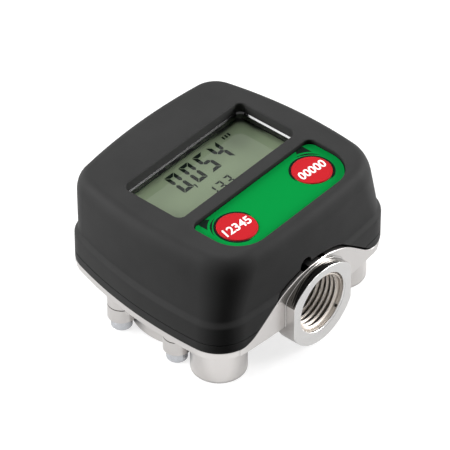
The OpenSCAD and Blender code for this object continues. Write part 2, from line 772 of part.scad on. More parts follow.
module hall_sensors() color("black")
    for (s = [-1, 1]) translate([well_x, s * (sensor_t + hall_t) / 2, sensor_low_z + hall_h / 2])
        cube([hall_w, hall_t, hall_h], center = true);

module at_cells()
    for (s = [-1, 1]) translate([s * cell_x, cell_y, 0]) children();

module battery_cells() color("silver")
    at_cells() translate([0, 0, cell_z]) cylinder(h = cell_t, r = cell_r);

module battery_tray() color("black") difference() {
    at_cells() translate([0, 0, deck_z + case_floor]) cylinder(h = tray_h, r = cell_r + slip + tray_wall);
    at_cells() translate([0, 0, cell_z]) cylinder(h = cell_t, r = cell_r + slip);
}

module battery_clips() color("gold")
    at_cells() translate([-clip_w / 2, -clip_w / 2, cell_z + cell_t]) cube([clip_w, clip_w, clip_t]);

module key_switches() color("dimgray")
    at_buttons() {
        translate([-switch_w / 2, -switch_w / 2, board_top_z]) cube([switch_w, switch_w, switch_t]);
        translate([0, 0, board_top_z + switch_t]) cylinder(h = plunger_h, r = plunger_r);
    }

module keypad_label() color("green") difference() {
    translate([0, 0, label_z]) linear_extrude(label_t) pedestal_panel();
    at_buttons() translate([0, 0, label_z - over]) cylinder(h = label_t + 2 * over, r = button_r + slip);
}

module button() {
    cap_h = button_edge_z - flange_top_z;
    translate([0, 0, flange_top_z]) cylinder(h = cap_h, r = button_r);
    translate([0, 0, flange_top_z - button_flange_t]) cylinder(h = button_flange_t, r = button_r + flange_step_r);
    translate([0, 0, stem_z]) cylinder(h = flange_top_z - stem_z, r = stem_r);
    translate([0, 0, button_edge_z]) cylinder(h = button_rise, r1 = button_r, r2 = button_r - button_rise);
}

module total_button() color("crimson") translate([-button_span / 2, button_y, 0]) button();

module reset_button() color("crimson") translate([button_span / 2, button_y, 0]) button();

// The boot's outside, from its lower lip to its rounded crown
band_z = boot_z + band_h;
crown_steps = 4;
boot_rings = concat(
    [[1, -lip_chamfer, boot_z], [1, 0, boot_z + lip_chamfer],
     [1, 0, groove_z - groove_w / 2], [1, -groove_d, groove_z], [1, 0, groove_z + groove_w / 2],
     [1, 0, band_z], [1, -band_step / 4, band_z + step_h / 3], [1, -band_step * 3 / 4, band_z + step_h * 2 / 3],
     [1, -band_step, band_z + step_h]],
    [for (i = [0 : crown_steps]) let (a = 90 * i / crown_steps)
        [0, -crown_round * (1 - cos(a)), total_h - crown_round * (1 - sin(a))]]);

module rubber_boot() color([0.16, 0.16, 0.16]) difference() {
    loft(boot_rings);
    slab(1, -boot_wall, boot_z - over, deck_z + rubber_gap);
    slab(0, -boot_wall, boot_z - over, total_h - boot_roof);
    for (s = [-1, 1]) arch_block(rubber_gap, boot_z, over, s);
    translate([notch_x, -foot_reach_low / 2, arch_top + rubber_gap]) rotate([90, 0, 0])
        cylinder(h = foot_reach_low, r = notch_r, $fn = 24);
    translate([0, 0, case_top_z - over]) linear_extrude(total_h) window_panel(0);
    translate([0, 0, case_top_z - over]) linear_extrude(total_h)
        panel(label_w, label_low, label_up, label_upper_r, label_lower_r);
}

meter_body();
chamber_cover();
chamber_seal();
chamber_screws();
gear_axles();
left_gear();
left_gear_bush();
right_gear();
right_gear_bush();
gear_magnets();
inlet_strainer();
strainer_clip();
long_case_screws();
short_case_screws();
case_base();
case_gasket();
case_cover();
case_inserts();
display_pane();
display_glass();
display_contacts();
circuit_board();
board_screws();
control_chip();
sensor_board();
hall_sensors();
battery_cells();
battery_tray();
battery_clips();
key_switches();
keypad_label();
total_button();
reset_button();
rubber_boot();
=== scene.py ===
"""Digital oil flow meter: the looks of its pieces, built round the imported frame.

Sizes are in millimetres, in the frame of the part: the meter lies on its back, the display
looks up (+Z), its reading direction is +X, and the ports open along -Y and +Y. A size turns
to metres only where a mesh, a lamp or the camera is made.
"""

import logging
import math
from dataclasses import dataclass, field
from enum import Enum, IntEnum
from typing import Callable, Sequence

import bmesh
import bpy
from mathutils import Matrix, Vector
from mathutils.geometry import tessellate_polygon


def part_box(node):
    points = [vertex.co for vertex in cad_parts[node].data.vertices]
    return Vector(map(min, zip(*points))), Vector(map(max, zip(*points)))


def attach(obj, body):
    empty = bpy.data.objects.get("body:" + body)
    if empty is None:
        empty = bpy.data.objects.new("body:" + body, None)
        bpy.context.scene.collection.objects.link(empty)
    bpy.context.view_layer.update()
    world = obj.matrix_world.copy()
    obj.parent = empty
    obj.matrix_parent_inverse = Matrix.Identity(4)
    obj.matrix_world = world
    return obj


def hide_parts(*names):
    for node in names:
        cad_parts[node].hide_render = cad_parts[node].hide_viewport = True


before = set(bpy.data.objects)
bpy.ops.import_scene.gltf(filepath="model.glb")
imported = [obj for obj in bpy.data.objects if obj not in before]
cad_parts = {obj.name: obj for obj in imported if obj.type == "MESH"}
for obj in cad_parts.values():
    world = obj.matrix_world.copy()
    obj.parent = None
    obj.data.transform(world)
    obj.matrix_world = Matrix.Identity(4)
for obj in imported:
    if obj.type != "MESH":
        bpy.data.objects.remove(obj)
NODES: dict[str, bpy.types.Object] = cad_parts

LOG = logging.getLogger("oil_meter")

MM = 0.001
TURN = 2 * math.pi

# Corners of a CAD mesh that are nearer than this are one, and faces that lean less are flat
WELD = 0.01
FLAT_ANGLE = 0.6

# Angle in degrees from which an edge of a mesh stays sharp
CREASE = 35

# How far the outline of a character grows, as a share of its height
BOLDNESS = 0.022

# Share of open sky from which a corner gets the full painted shade, and how bright that painted shade is
CORNER_SKY = 0.35
SOIL_SHADE = 0.12

Flat = tuple[float, float]
Point = tuple[float, float, float]
Shape = tuple[list[Point], list[list[int]]]

Tree = bpy.types.NodeTree
Node = bpy.types.Node
Socket = bpy.types.NodeSocket
Mesh = bpy.types.Mesh


class Port(Enum):
    """The two threaded ports, by the side of the meter that each opens on."""

    OUTLET = -1
    INLET = 1


class Body(Enum):
    """The bodies of the frame that added pieces ride on."""

    METER = "meter"
    TOTAL_BUTTON = "total_button"
    RESET_BUTTON = "reset_button"


def linear(code: str) -> tuple[float, float, float, float]:
    """Turn an sRGB hex colour to linear.

    Args:
        code: Six hex digits, red first.

    Returns:
        Linear red, green and blue, and an alpha of 1.
    """
    shares = [int(code[i : i + 2], 16) / 255 for i in (0, 2, 4)]
    parts = [s / 12.92 if s <= 0.04045 else ((s + 0.055) / 1.055) ** 2.4 for s in shares]
    return (parts[0], parts[1], parts[2], 1.0)


def add_node(tree: Tree, kind: str, inputs: dict | None = None, **settings) -> Node:
    """Add a node with its settings, values and links.

    Args:
        tree: The tree that gets the node.
        kind: Blender's name of the node type.
        inputs: A socket or a value for each input, by name or number.
        settings: Properties of the node itself.

    Returns:
        The new node.
    """
    node = tree.nodes.new(kind)
    for name, value in settings.items():
        setattr(node, name, value)
    for name, value in (inputs or {}).items():
        if isinstance(value, Socket):
            tree.links.new(value, node.inputs[name])
        else:
            node.inputs[name].default_value = value
    return node


@dataclass(frozen=True)
class Finish:
    """A finish with faint patches of darker tone, uneven gloss and a fine grain, and where asked painted
    shade in its corners.

    The patches, the gloss and the grain come from noise on Object coordinates, so that they
    keep their size in millimetres on every piece.
    """

    name: str
    colour: str
    roughness: float
    metallic: float = 0.0
    ior: float = 1.5
    coat: float = 0.0
    patch: float = 0.06
    patch_mm: float = 9.0
    grain: float = 0.004
    grain_mm: float = 0.5
    gloss_spread: float = 0.08
    shine: float = 0.5
    stretch: Point = (1.0, 1.0, 1.0)
    # Strength and reach in millimetres of the painted shade in corners and gaps
    soil: float = 0.0
    soil_mm: float = 5.0

    def material(self) -> bpy.types.Material:
        """Give the finish's material, made once.

        Returns:
            The material.
        """
        material = bpy.data.materials.get(self.name)
        if material is None:
            material = bpy.data.materials.new(self.name)
            material.use_nodes = True
            self.set_up(material.node_tree)
        return material

    def set_up(self, tree: Tree) -> None:
        """Add and link the finish's nodes.

        Args:
            tree: The material's tree.
        """
        shader = tree.nodes["Principled BSDF"]
        shader.inputs["Metallic"].default_value = self.metallic
        shader.inputs["Coat Weight"].default_value = self.coat
        if not self.metallic:
            shader.inputs["IOR"].default_value = self.ior
            shader.inputs["Specular IOR Level"].default_value = self.shine
        place = add_node(tree, "ShaderNodeTexCoord").outputs["Object"]
        self.paint(tree, shader, place)
        self.roughen(tree, shader, place)
        tree.links.new(self.relief(tree, place), shader.inputs["Normal"])

    def noise(self, tree: Tree, place: Socket, size: float, detail: float) -> Socket:
        """Give a noise whose lumps have a size in millimetres.

        Args:
            tree: The material's tree.
            place: Object coordinates, in metres.
            size: Size of a lump in millimetres.
            detail: Octaves of the noise.

        Returns:
            The noise's value, from 0 to 1.
        """
        drawn = add_node(tree, "ShaderNodeMapping", {"Vector": place, "Scale": self.stretch})
        inputs = {"Vector": drawn.outputs["Vector"], "Scale": 1 / (size * MM), "Detail": detail}
        return add_node(tree, "ShaderNodeTexNoise", inputs).outputs["Fac"]

    def paint(self, tree: Tree, shader: Node, place: Socket) -> None:
        """Darken the colour a little in patches.

        Args:
            tree: The material's tree.
            shader: The shader that gets the colour.
            place: Object coordinates, in metres.
        """
        base = linear(self.colour)
        shade = tuple(c * (1 - self.patch) for c in base[:3]) + (1.0,)
        inputs = {0: self.noise(tree, place, self.patch_mm, 3), 6: base, 7: shade}
        colour = add_node(tree, "ShaderNodeMix", inputs, data_type="RGBA").outputs[2]
        # Painted shade: corners and gaps darkened by ambient occlusion
        if self.soil:
            colour = self.soiled(tree, colour, base)
        tree.links.new(colour, shader.inputs["Base Color"])

    def soiled(self, tree: Tree, colour: Socket, base: tuple[float, ...]) -> Socket:
        """Paint shade into corners and narrow gaps: darken the colour where ambient occlusion finds little
        open sky.

        Args:
            tree: The material's tree.
            colour: The colour in the open.
            base: The finish's plain colour, linear.

        Returns:
            The colour with painted shade in its corners.
        """
        reach = {"Distance": self.soil_mm * MM}
        sky = add_node(tree, "ShaderNodeAmbientOcclusion", reach, samples=6)
        inputs = {"Value": sky.outputs["AO"], "From Min": CORNER_SKY, "To Min": self.soil, "To Max": 0.0}
        closed = add_node(tree, "ShaderNodeMapRange", inputs).outputs["Result"]
        dark = tuple(c * SOIL_SHADE for c in base[:3]) + (1.0,)
        inputs = {0: closed, 6: colour, 7: dark}
        return add_node(tree, "ShaderNodeMix", inputs, data_type="RGBA").outputs[2]

    def roughen(self, tree: Tree, shader: Node, place: Socket) -> None:
        """Spread the roughness round its value.

        Args:
            tree: The material's tree.
            shader: The shader that gets the roughness.
            place: Object coordinates, in metres.
        """
        inputs = {
            "Value": self.noise(tree, place, self.patch_mm / 3, 4),
            "To Min": self.roughness * (1 - self.gloss_spread),
            "To Max": self.roughness * (1 + self.gloss_spread),
        }
        spread = add_node(tree, "ShaderNodeMapRange", inputs)
        tree.links.new(spread.outputs["Result"], shader.inputs["Roughness"])

    def relief(self, tree: Tree, place: Socket) -> Socket:
        """Give the normal of the grained surface.

        Args:
            tree: The material's tree.
            place: Object coordinates, in metres.

        Returns:
            The normal.
        """
        grain = self.noise(tree, place, self.grain_mm, 4)
        bump = add_node(tree, "ShaderNodeBump", {"Height": grain, "Distance": self.grain * MM})
        return bump.outputs["Normal"]


@dataclass(frozen=True)
class TurnedFinish(Finish):
    """A metal face with the rings of a turning tool round an axis along Y."""

    axis_z: float = 16.5
    feed: float = 0.32

    def relief(self, tree: Tree, place: Socket) -> Socket:
        """Give the normal of the turned surface, whether the tool moved along the axis or across it.

        The feed is drawn coarser than a real finishing cut of 0.1 mm, which wouldn't show.

        Args:
            tree: The material's tree.
            place: Object coordinates, in metres.

        Returns:
            The normal.
        """
        axes = add_node(tree, "ShaderNodeSeparateXYZ", {"Vector": place}).outputs
        inputs = {0: axes["Z"], 1: self.axis_z * MM}
        up = add_node(tree, "ShaderNodeMath", inputs, operation="SUBTRACT").outputs[0]
        flat = add_node(tree, "ShaderNodeCombineXYZ", {"X": axes["X"], "Y": up}).outputs[0]
        radius = add_node(tree, "ShaderNodeVectorMath", {0: flat}, operation="LENGTH").outputs["Value"]
        inputs = {0: radius, 1: axes["Y"]}
        travel = add_node(tree, "ShaderNodeMath", inputs, operation="ADD").outputs[0]
        inputs = {0: travel, 1: TURN / (self.feed * MM)}
        phase = add_node(tree, "ShaderNodeMath", inputs, operation="MULTIPLY").outputs[0]
        wave = add_node(tree, "ShaderNodeMath", {0: phase}, operation="SINE").outputs[0]
        bump = add_node(tree, "ShaderNodeBump", {"Height": wave, "Distance": self.grain * MM})
        return bump.outputs["Normal"]


@dataclass(frozen=True)
class BoardFinish(Finish):
    """Solder mask over copper tracks that run square to each other."""

    track: str = "3E8A57"
    track_mm: float = 2.4
    track_share: float = 0.09

    def paint(self, tree: Tree, shader: Node, place: Socket) -> None:
        """Show the tracks as lighter bands through the mask.

        Args:
            tree: The material's tree.
            shader: The shader that gets the colour.
            place: Object coordinates, in metres.
        """
        inputs = {
            "Vector": place,
            "Color1": linear(self.colour),
            "Color2": linear(self.colour),
            "Mortar": linear(self.track),
            "Scale": 1 / (self.track_mm * MM),
            "Mortar Size": self.track_share,
        }
        tracks = add_node(tree, "ShaderNodeTexBrick", inputs)
        tree.links.new(tracks.outputs["Color"], shader.inputs["Base Color"])


@dataclass(frozen=True)
class ClearFinish(Finish):
    """Clear moulded acrylic: it shows what lies behind and mirrors a little."""

    def set_up(self, tree: Tree) -> None:
        """Add and link the nodes of a sheet that mirrors on its outer side only.

        Args:
            tree: The material's tree.
        """
        tree.nodes.remove(tree.nodes["Principled BSDF"])
        see = add_node(tree, "ShaderNodeBsdfTransparent", {"Color": linear(self.colour)})
        shine = add_node(tree, "ShaderNodeBsdfGlossy", {"Roughness": self.roughness})
        edge = add_node(tree, "ShaderNodeFresnel", {"IOR": self.ior}).outputs[0]
        inside = add_node(tree, "ShaderNodeNewGeometry").outputs["Backfacing"]
        outer = add_node(tree, "ShaderNodeMath", {0: 1.0, 1: inside}, operation="SUBTRACT")
        inputs = {0: edge, 1: outer.outputs[0]}
        mirror = add_node(tree, "ShaderNodeMath", inputs, operation="MULTIPLY")
        inputs = {0: mirror.outputs[0], 1: see.outputs[0], 2: shine.outputs[0]}
        mix = add_node(tree, "ShaderNodeMixShader", inputs)
        tree.links.new(mix.outputs[0], tree.nodes["Material Output"].inputs["Surface"])


# Injection-moulded nitrile rubber: near black, satin, with the mould's fine spark-eroded grain, and painted
# shade darkening the window's recess walls, the grooves and the corners
BOOT_RUBBER = Finish(
    "moulded_nitrile_rubber", "393939", 0.55, ior=1.52, patch=0.25, patch_mm=11, grain=0.008,
    grain_mm=0.45, shine=0.03, soil=0.8, soil_mm=4,
)
# Pressure die-cast aluminium, tumbled: pale warm grey, satin, slightly uneven, with painted shade darkening
# its corners and narrow gaps
CAST_ALUMINIUM = Finish(
    "die_cast_aluminium", "C9C6C4", 0.3, metallic=1, patch=0.06, patch_mm=8, grain=0.006, grain_mm=1.8,
    gloss_spread=0.06, soil=0.85, soil_mm=0.9,
)
# Turned aluminium: brighter than the cast skin, with the tool's rings, drawn coarser than real ones
TURNED_ALUMINIUM = TurnedFinish("turned_aluminium", "CBCAC9", 0.24, metallic=1, patch=0.03, grain=0.004)
# The bosses' sides: turned aluminium with its colour painted dark, a painted reflection of the dark boot
# above, and painted shade in its corners
BOSS_SIDE = TurnedFinish(
    "fine_turned_aluminium", "7E7B77", 0.12, metallic=1, patch=0.12, patch_mm=2.5, grain=0.01, feed=0.8,
    soil=0.95, soil_mm=8,
)
# Flanks of the cut thread with a film of oil: torn by the tap, dull and faintly brown
CUT_THREAD = TurnedFinish(
    "oily_thread_flanks", "C9C2BA", 0.6, metallic=1, patch=0.15, patch_mm=3, grain=0.04, feed=0.45
)
# Painted shade in the joint between the body and the cover: its rounded edges painted matt and nearly black
JOINT_GRIME = Finish("grime_in_the_joint", "3A3633", 0.85, ior=1.5, patch=0.3, patch_mm=1.5, shine=0.1)
# Crests left by the drill: matt, and painted lighter than the flanks as a painted highlight along each
# crest
THREAD_CREST = Finish(
    "drilled_thread_crests", "F0EDE9", 0.85, metallic=1, patch=0.05, patch_mm=3, grain=0.001
)
# Zinc-plated steel: cool and bright, with painted shade where the screws meet the parts round them
ZINC_STEEL = Finish(
    "zinc_plated_steel", "D0D2D6", 0.24, metallic=1, patch=0.25, patch_mm=1.2, grain=0.008,
    soil=0.4, soil_mm=1,
)
# Ground steel: bright, with the grinding wheel's fine rings round the axles
GROUND_STEEL = Finish("ground_steel", "C9CBCF", 0.16, metallic=1, grain=0.001, stretch=(1, 1, 8))
# Tempered spring steel: a darker, duller grey than the plated parts
SPRING_STEEL = Finish("spring_steel", "8D9095", 0.35, metallic=1)
# Stainless sheet, pickled after it was pierced: an even, pale satin
STAINLESS_STEEL = Finish("pickled_stainless_steel", "C2C4C6", 0.3, metallic=1)
# Nickel plate on a pressed magnet: bright with a warm cast
NICKEL = Finish("nickel_plated_magnet", "BFBBB2", 0.2, metallic=1)
# Turned and rolled brass: yellow satin
BRASS = Finish("turned_brass", "C6A15A", 0.3, metallic=1)
# Sintered bronze: matt brown with a fine open grain
BRONZE = Finish("sintered_bronze", "A9794A", 0.45, metallic=1, grain=0.008, grain_mm=0.15)
# Moulded acetal: dark grey with a waxy sheen
ACETAL = Finish("moulded_acetal", "3B3C40", 0.38, ior=1.48)
# Moulded ABS with a polished mould: deep black gloss
GLOSS_ABS = Finish(
    "polished_black_abs", "101011", 0.12, ior=1.54, patch=0.02, grain=0.0004, gloss_spread=0.05
)
# Moulded ABS with an eroded mould: a dull black that shows no reflection
SATIN_ABS = Finish("moulded_black_abs", "232427", 0.45, ior=1.54)
# Moulded polypropylene: a greyish black, slightly waxy
TRAY_PLASTIC = Finish("moulded_polypropylene", "2B2D30", 0.5, ior=1.49)
# Gasket cut from sheet rubber: matt black
GASKET_RUBBER = Finish("cut_gasket_rubber", "1B1B1C", 0.7, ior=1.52)
# Moulded fluoro rubber: black with a soft sheen
SEAL_RUBBER = Finish("moulded_fluoro_rubber", "1E1B1A", 0.5, ior=1.4)
# Silicone with thin conducting layers: pink and matt from a distance
CONTACT_RUBBER = Finish("striped_contact_rubber", "D59A9C", 0.6, ior=1.41)
# Moulded epoxy: black with a fine dull grain
CHIP_EPOXY = Finish("moulded_chip_epoxy", "1C1C1F", 0.5, ior=1.55, grain=0.006, grain_mm=0.12)
# Solder mask: green gloss, lighter where a track runs under it
SOLDER_MASK = BoardFinish("green_solder_mask", "1D6638", 0.3, ior=1.5)
# Drawn steel can with nickel plate: bright silver
CELL_STEEL = Finish("nickel_plated_cell_can", "C7C8C9", 0.22, metallic=1)
# Moulded nylon: satin black
SWITCH_PLASTIC = Finish("moulded_switch_nylon", "303136", 0.5, ior=1.53)
# Polished acrylic: hardly to be seen but for a sharp, faint reflection
CLEAR_ACRYLIC = ClearFinish("clear_acrylic", "F4F6F4", 0.02, ior=1.49)
# Reflective liquid-crystal glass: the polariser gives it a flat grey-green
LCD_GLASS = Finish(
    "liquid_crystal_glass", "A1AD92", 0.4, ior=1.5, patch=0.1, patch_mm=18, grain=0.0002, shine=0.05
)
# Crystal that is switched on: flat and nearly black
LCD_SEGMENT = Finish("dark_crystal_segments", "101A17", 0.5, ior=1.5, patch=0.0, grain=0.0, shine=0.02)
# Printed polyester film over the buttons' plate
LABEL_FILM = Finish(
    "green_polyester_film", "008539", 0.45, ior=1.57, patch=0.05, patch_mm=6, grain=0.001, shine=0.03
)
# Dark screen ink: flat, with a trace of the green under it
LABEL_INK = Finish("dark_screen_ink", "12201A", 0.5, ior=1.5, patch=0.0, grain=0.0, shine=0.03)
# Moulded silicone cap: deep red, with a soft wide highlight
BUTTON_RED = Finish("red_silicone_dome", "B82229", 0.35, ior=1.43, patch=0.04, grain=0.001, shine=0.06)
# White screen ink: flat and opaque
BUTTON_INK = Finish("white_screen_ink", "F4F2F0", 0.4, ior=1.5, patch=0.0, grain=0.0)

# The CAD nodes that stay as they are, with the finish of each
KEPT_NODES: dict[str, Finish] = {
    "gear_axles": GROUND_STEEL,
    "left_gear": ACETAL,
    "left_gear_bush": BRONZE,
    "right_gear": ACETAL,
    "right_gear_bush": BRONZE,
    "gear_magnets": NICKEL,
    "inlet_strainer": STAINLESS_STEEL,
    "strainer_clip": SPRING_STEEL,
    "case_base": SATIN_ABS,
    "case_inserts": BRASS,
    "display_pane": CLEAR_ACRYLIC,
    "display_glass": LCD_GLASS,
    "circuit_board": SOLDER_MASK,
    "board_screws": ZINC_STEEL,
    "control_chip": CHIP_EPOXY,
    "sensor_board": SOLDER_MASK,
    "hall_sensors": CHIP_EPOXY,
    "battery_cells": CELL_STEEL,
    "battery_tray": TRAY_PLASTIC,
    "battery_clips": BRASS,
    "key_switches": SWITCH_PLASTIC,
    "keypad_label": LABEL_FILM,
}


def make_mesh(
    name: str, points: Sequence[Point], faces: Sequence[Sequence[int]], crease: float = CREASE
) -> Mesh:
    """Make a smooth-shaded mesh with its faces turned outwards.

    Args:
        name: Name of the mesh.
        points: Corners in millimetres.
        faces: Corner numbers of each face.
        crease: Angle in degrees from which an edge stays sharp.

    Returns:
        The mesh, in metres.
    """
    mesh = bpy.data.meshes.new(name)
    mesh.from_pydata([Vector(p) * MM for p in points], [], [list(f) for f in faces])
    work = bmesh.new()
    work.from_mesh(mesh)
    bmesh.ops.remove_doubles(work, verts=work.verts, dist=MM * MM)
    bmesh.ops.recalc_face_normals(work, faces=work.faces)
    work.to_mesh(mesh)
    work.free()
    mesh.shade_smooth()
    mesh.set_sharp_from_angle(angle=math.radians(crease))
    return mesh


def loft(rings: Sequence[Sequence[Point]], closed: bool = False) -> Shape:
    """Join rings of as many points each by four-sided faces.

    Args:
        rings: The rings in order.
        closed: Whether the last ring joins the first, instead of a flat cap at each end.

    Returns:
        Points and faces.
    """
    size = len(rings[0])
    points = [p for ring in rings for p in ring]
    joints = [(k, (k + 1) % len(rings)) for k in range(len(rings) if closed else len(rings) - 1)]
    faces = [
        [a * size + i, a * size + (i + 1) % size, b * size + (i + 1) % size, b * size + i]
        for a, b in joints
        for i in range(size)
    ]
    if not closed:
        faces.append(list(range(size))[::-1])
        faces.append([(len(rings) - 1) * size + i for i in range(size)])
    return points, faces


def lathe(profile: Sequence[Flat], centre: Flat, steps: int = 96) -> Shape:
    """Turn a profile about an upright axis.

    Args:
        profile: Radius and height of each ring, in order.
        centre: X and Y of the axis.
        steps: Points in a ring.

    Returns:
        Points and faces.
    """
    rings = [
        [
            (
                centre[0] + max(r, MM) * math.cos(TURN * i / steps),
                centre[1] + max(r, MM) * math.sin(TURN * i / steps),
                z,
            )
            for i in range(steps)
        ]
        for r, z in profile
    ]
    return loft(rings)


def evaluated(piece: bpy.types.Object) -> Mesh:
    """Turn an object with its modifiers into a plain mesh and remove the object.

    Args:
        piece: The object, linked to the scene.

    Returns:
        Its final mesh.
    """
    bpy.context.view_layer.update()
    result = piece.evaluated_get(bpy.context.evaluated_depsgraph_get())
    mesh = bpy.data.meshes.new_from_object(result)
    bpy.data.objects.remove(piece)
    return mesh


def link_object(name: str, data: bpy.types.ID) -> bpy.types.Object:
    """Make an object and link it to the scene.

    Args:
        name: Its name.
        data: Its mesh, curve, lamp or camera.

    Returns:
        The object.
    """
    piece = bpy.data.objects.new(name, data)
    bpy.context.scene.collection.objects.link(piece)
    return piece


def cut(mesh: Mesh, tools: Sequence[Mesh]) -> Mesh:
    """Cut closed meshes out of a closed mesh.

    Args:
        mesh: What is cut.
        tools: What is taken away.

    Returns:
        The cut mesh.
    """
    piece = link_object("cut_work", mesh)
    blades = [link_object(f"cut_tool_{i}", tool) for i, tool in enumerate(tools)]
    for blade in blades:
        step = piece.modifiers.new("cut", "BOOLEAN")
        step.operation = "DIFFERENCE"
        step.solver = "MANIFOLD"
        step.object = blade
    result = evaluated(piece)
    for blade in blades:
        bpy.data.objects.remove(blade)
    return result


def add_piece(
    name: str,
    mesh: Mesh,
    finishes: Sequence[Finish],
    body: Body,
    nodes: Sequence[str] = (),
) -> bpy.types.Object:
    """Add a finished piece that rides on a body.

    Args:
        name: Name of the piece.
        mesh: Its mesh, in place.
        finishes: Its finishes, in the order of its faces' material numbers.
        body: The body that it rides on.
        nodes: The CAD nodes that it stands for.

    Returns:
        The piece.
    """
    mesh.name = name
    piece = link_object(name, mesh)
    numbers = [face.material_index for face in mesh.polygons]
    mesh.materials.clear()
    for finish in finishes:
        mesh.materials.append(finish.material())
    mesh.polygons.foreach_set("material_index", [min(n, len(finishes) - 1) for n in numbers])
    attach(piece, body.value)
    if nodes:
        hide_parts(*nodes)
    LOG.info("%s: %d faces", name, len(mesh.polygons))
    return piece


def softened(
    node: bpy.types.Object, width: float, steps: int = 3, crease: float = 30, clamp: bool = False
) -> Mesh:
    """Copy a CAD node's mesh with its sharp edges rounded.

    Args:
        node: The CAD node.
        width: Width of the rounding in millimetres.
        steps: Faces across the rounding.
        crease: Least angle in degrees of an edge that is rounded.
        clamp: Whether the width shrinks where two roundings would meet.

    Returns:
        The rounded copy.
    """
    mesh = node.data.copy()
    work = bmesh.new()
    work.from_mesh(mesh)
    bmesh.ops.remove_doubles(work, verts=work.verts, dist=WELD * MM)
    limit = math.radians(FLAT_ANGLE)
    bmesh.ops.dissolve_limit(work, angle_limit=limit, verts=work.verts, edges=work.edges)
    work.to_mesh(mesh)
    work.free()
    mesh.shade_smooth()
    mesh.set_sharp_from_angle(angle=math.radians(crease))
    piece = link_object("soft_work", mesh)
    edge = piece.modifiers.new("edges", "BEVEL")
    edge.limit_method = "ANGLE"
    edge.angle_limit = math.radians(crease)
    edge.width = width * MM
    edge.segments = steps
    edge.use_clamp_overlap = clamp
    flat = piece.modifiers.new("even_shading", "WEIGHTED_NORMAL")
    flat.keep_sharp = True
    return evaluated(piece)


def quarter_turn(steps: int) -> list[float]:
    """Give the bearings in radians at the ends of equal steps from 0 to 90 degrees."""
    return [math.radians(90 * i / steps) for i in range(steps + 1)]


def on_arc(centre: Flat, r: float, start: float, end: float, steps: int, skip: int = 0) -> list[Flat]:
    """Give points along an arc.

    Args:
        centre: Centre of the arc.
        r: Its radius.
        start: First bearing in degrees.
        end: Last bearing in degrees.
        steps: Stretches along the arc.
        skip: Points left out at the start.

    Returns:
        The points in order.
    """
    turns = [math.radians(start + (end - start) * i / steps) for i in range(skip, steps + 1)]
    return [(centre[0] + r * math.cos(t), centre[1] + r * math.sin(t)) for t in turns]


def crossing(c0: Flat, r0: float, c1: Flat, r1: float, up: float) -> Flat:
    """Give the right-hand crossing of two circles, above or below the X axis.

    Args:
        c0: Centre of the first circle.
        r0: Its radius.
        c1: Centre of the second circle.
        r1: Its radius.
        up: 1 for the crossing above the axis, -1 for the one below.

    Returns:
        The crossing.
    """
    first = Vector(c0)
    along = Vector(c1) - first
    gap = along.length
    reach = (gap**2 + r0**2 - r1**2) / (2 * gap)
    foot = first + along * (reach / gap)
    side = Vector((-along.y, along.x)) / gap * math.sqrt(r0**2 - reach**2)
    found = [p for p in (foot + side, foot - side) if p.x > 0 and p.y * up > 0][0]
    return (found.x, found.y)


def bearing(centre: Flat, point: Flat) -> float:
    """Give the bearing in degrees of a point seen from a centre."""
    return math.degrees(math.atan2(point[1] - centre[1], point[0] - centre[0]))


def panel_ring(half_w: float, low: float, up: float, r_up: float, r_low: float, grow: float) -> list[Flat]:
    """Outline a rectangle with one corner radius above and another below.

    Args:
        half_w: Half its width.
        low: Y of its lower side.
        up: Y of its upper side.
        r_up: Radius of the upper corners.
        r_low: Radius of the lower corners.
        grow: How far the outline is moved outwards.

    Returns:
        Its points, counter-clockwise.
    """
    steps = 12
    low_c, up_c = (half_w - r_low, low + r_low), (half_w - r_up, up - r_up)
    right = on_arc(low_c, r_low + grow, -90, 0, steps) + on_arc(up_c, r_up + grow, 0, 90, steps)
    return right + [(-x, y) for x, y in reversed(right)]


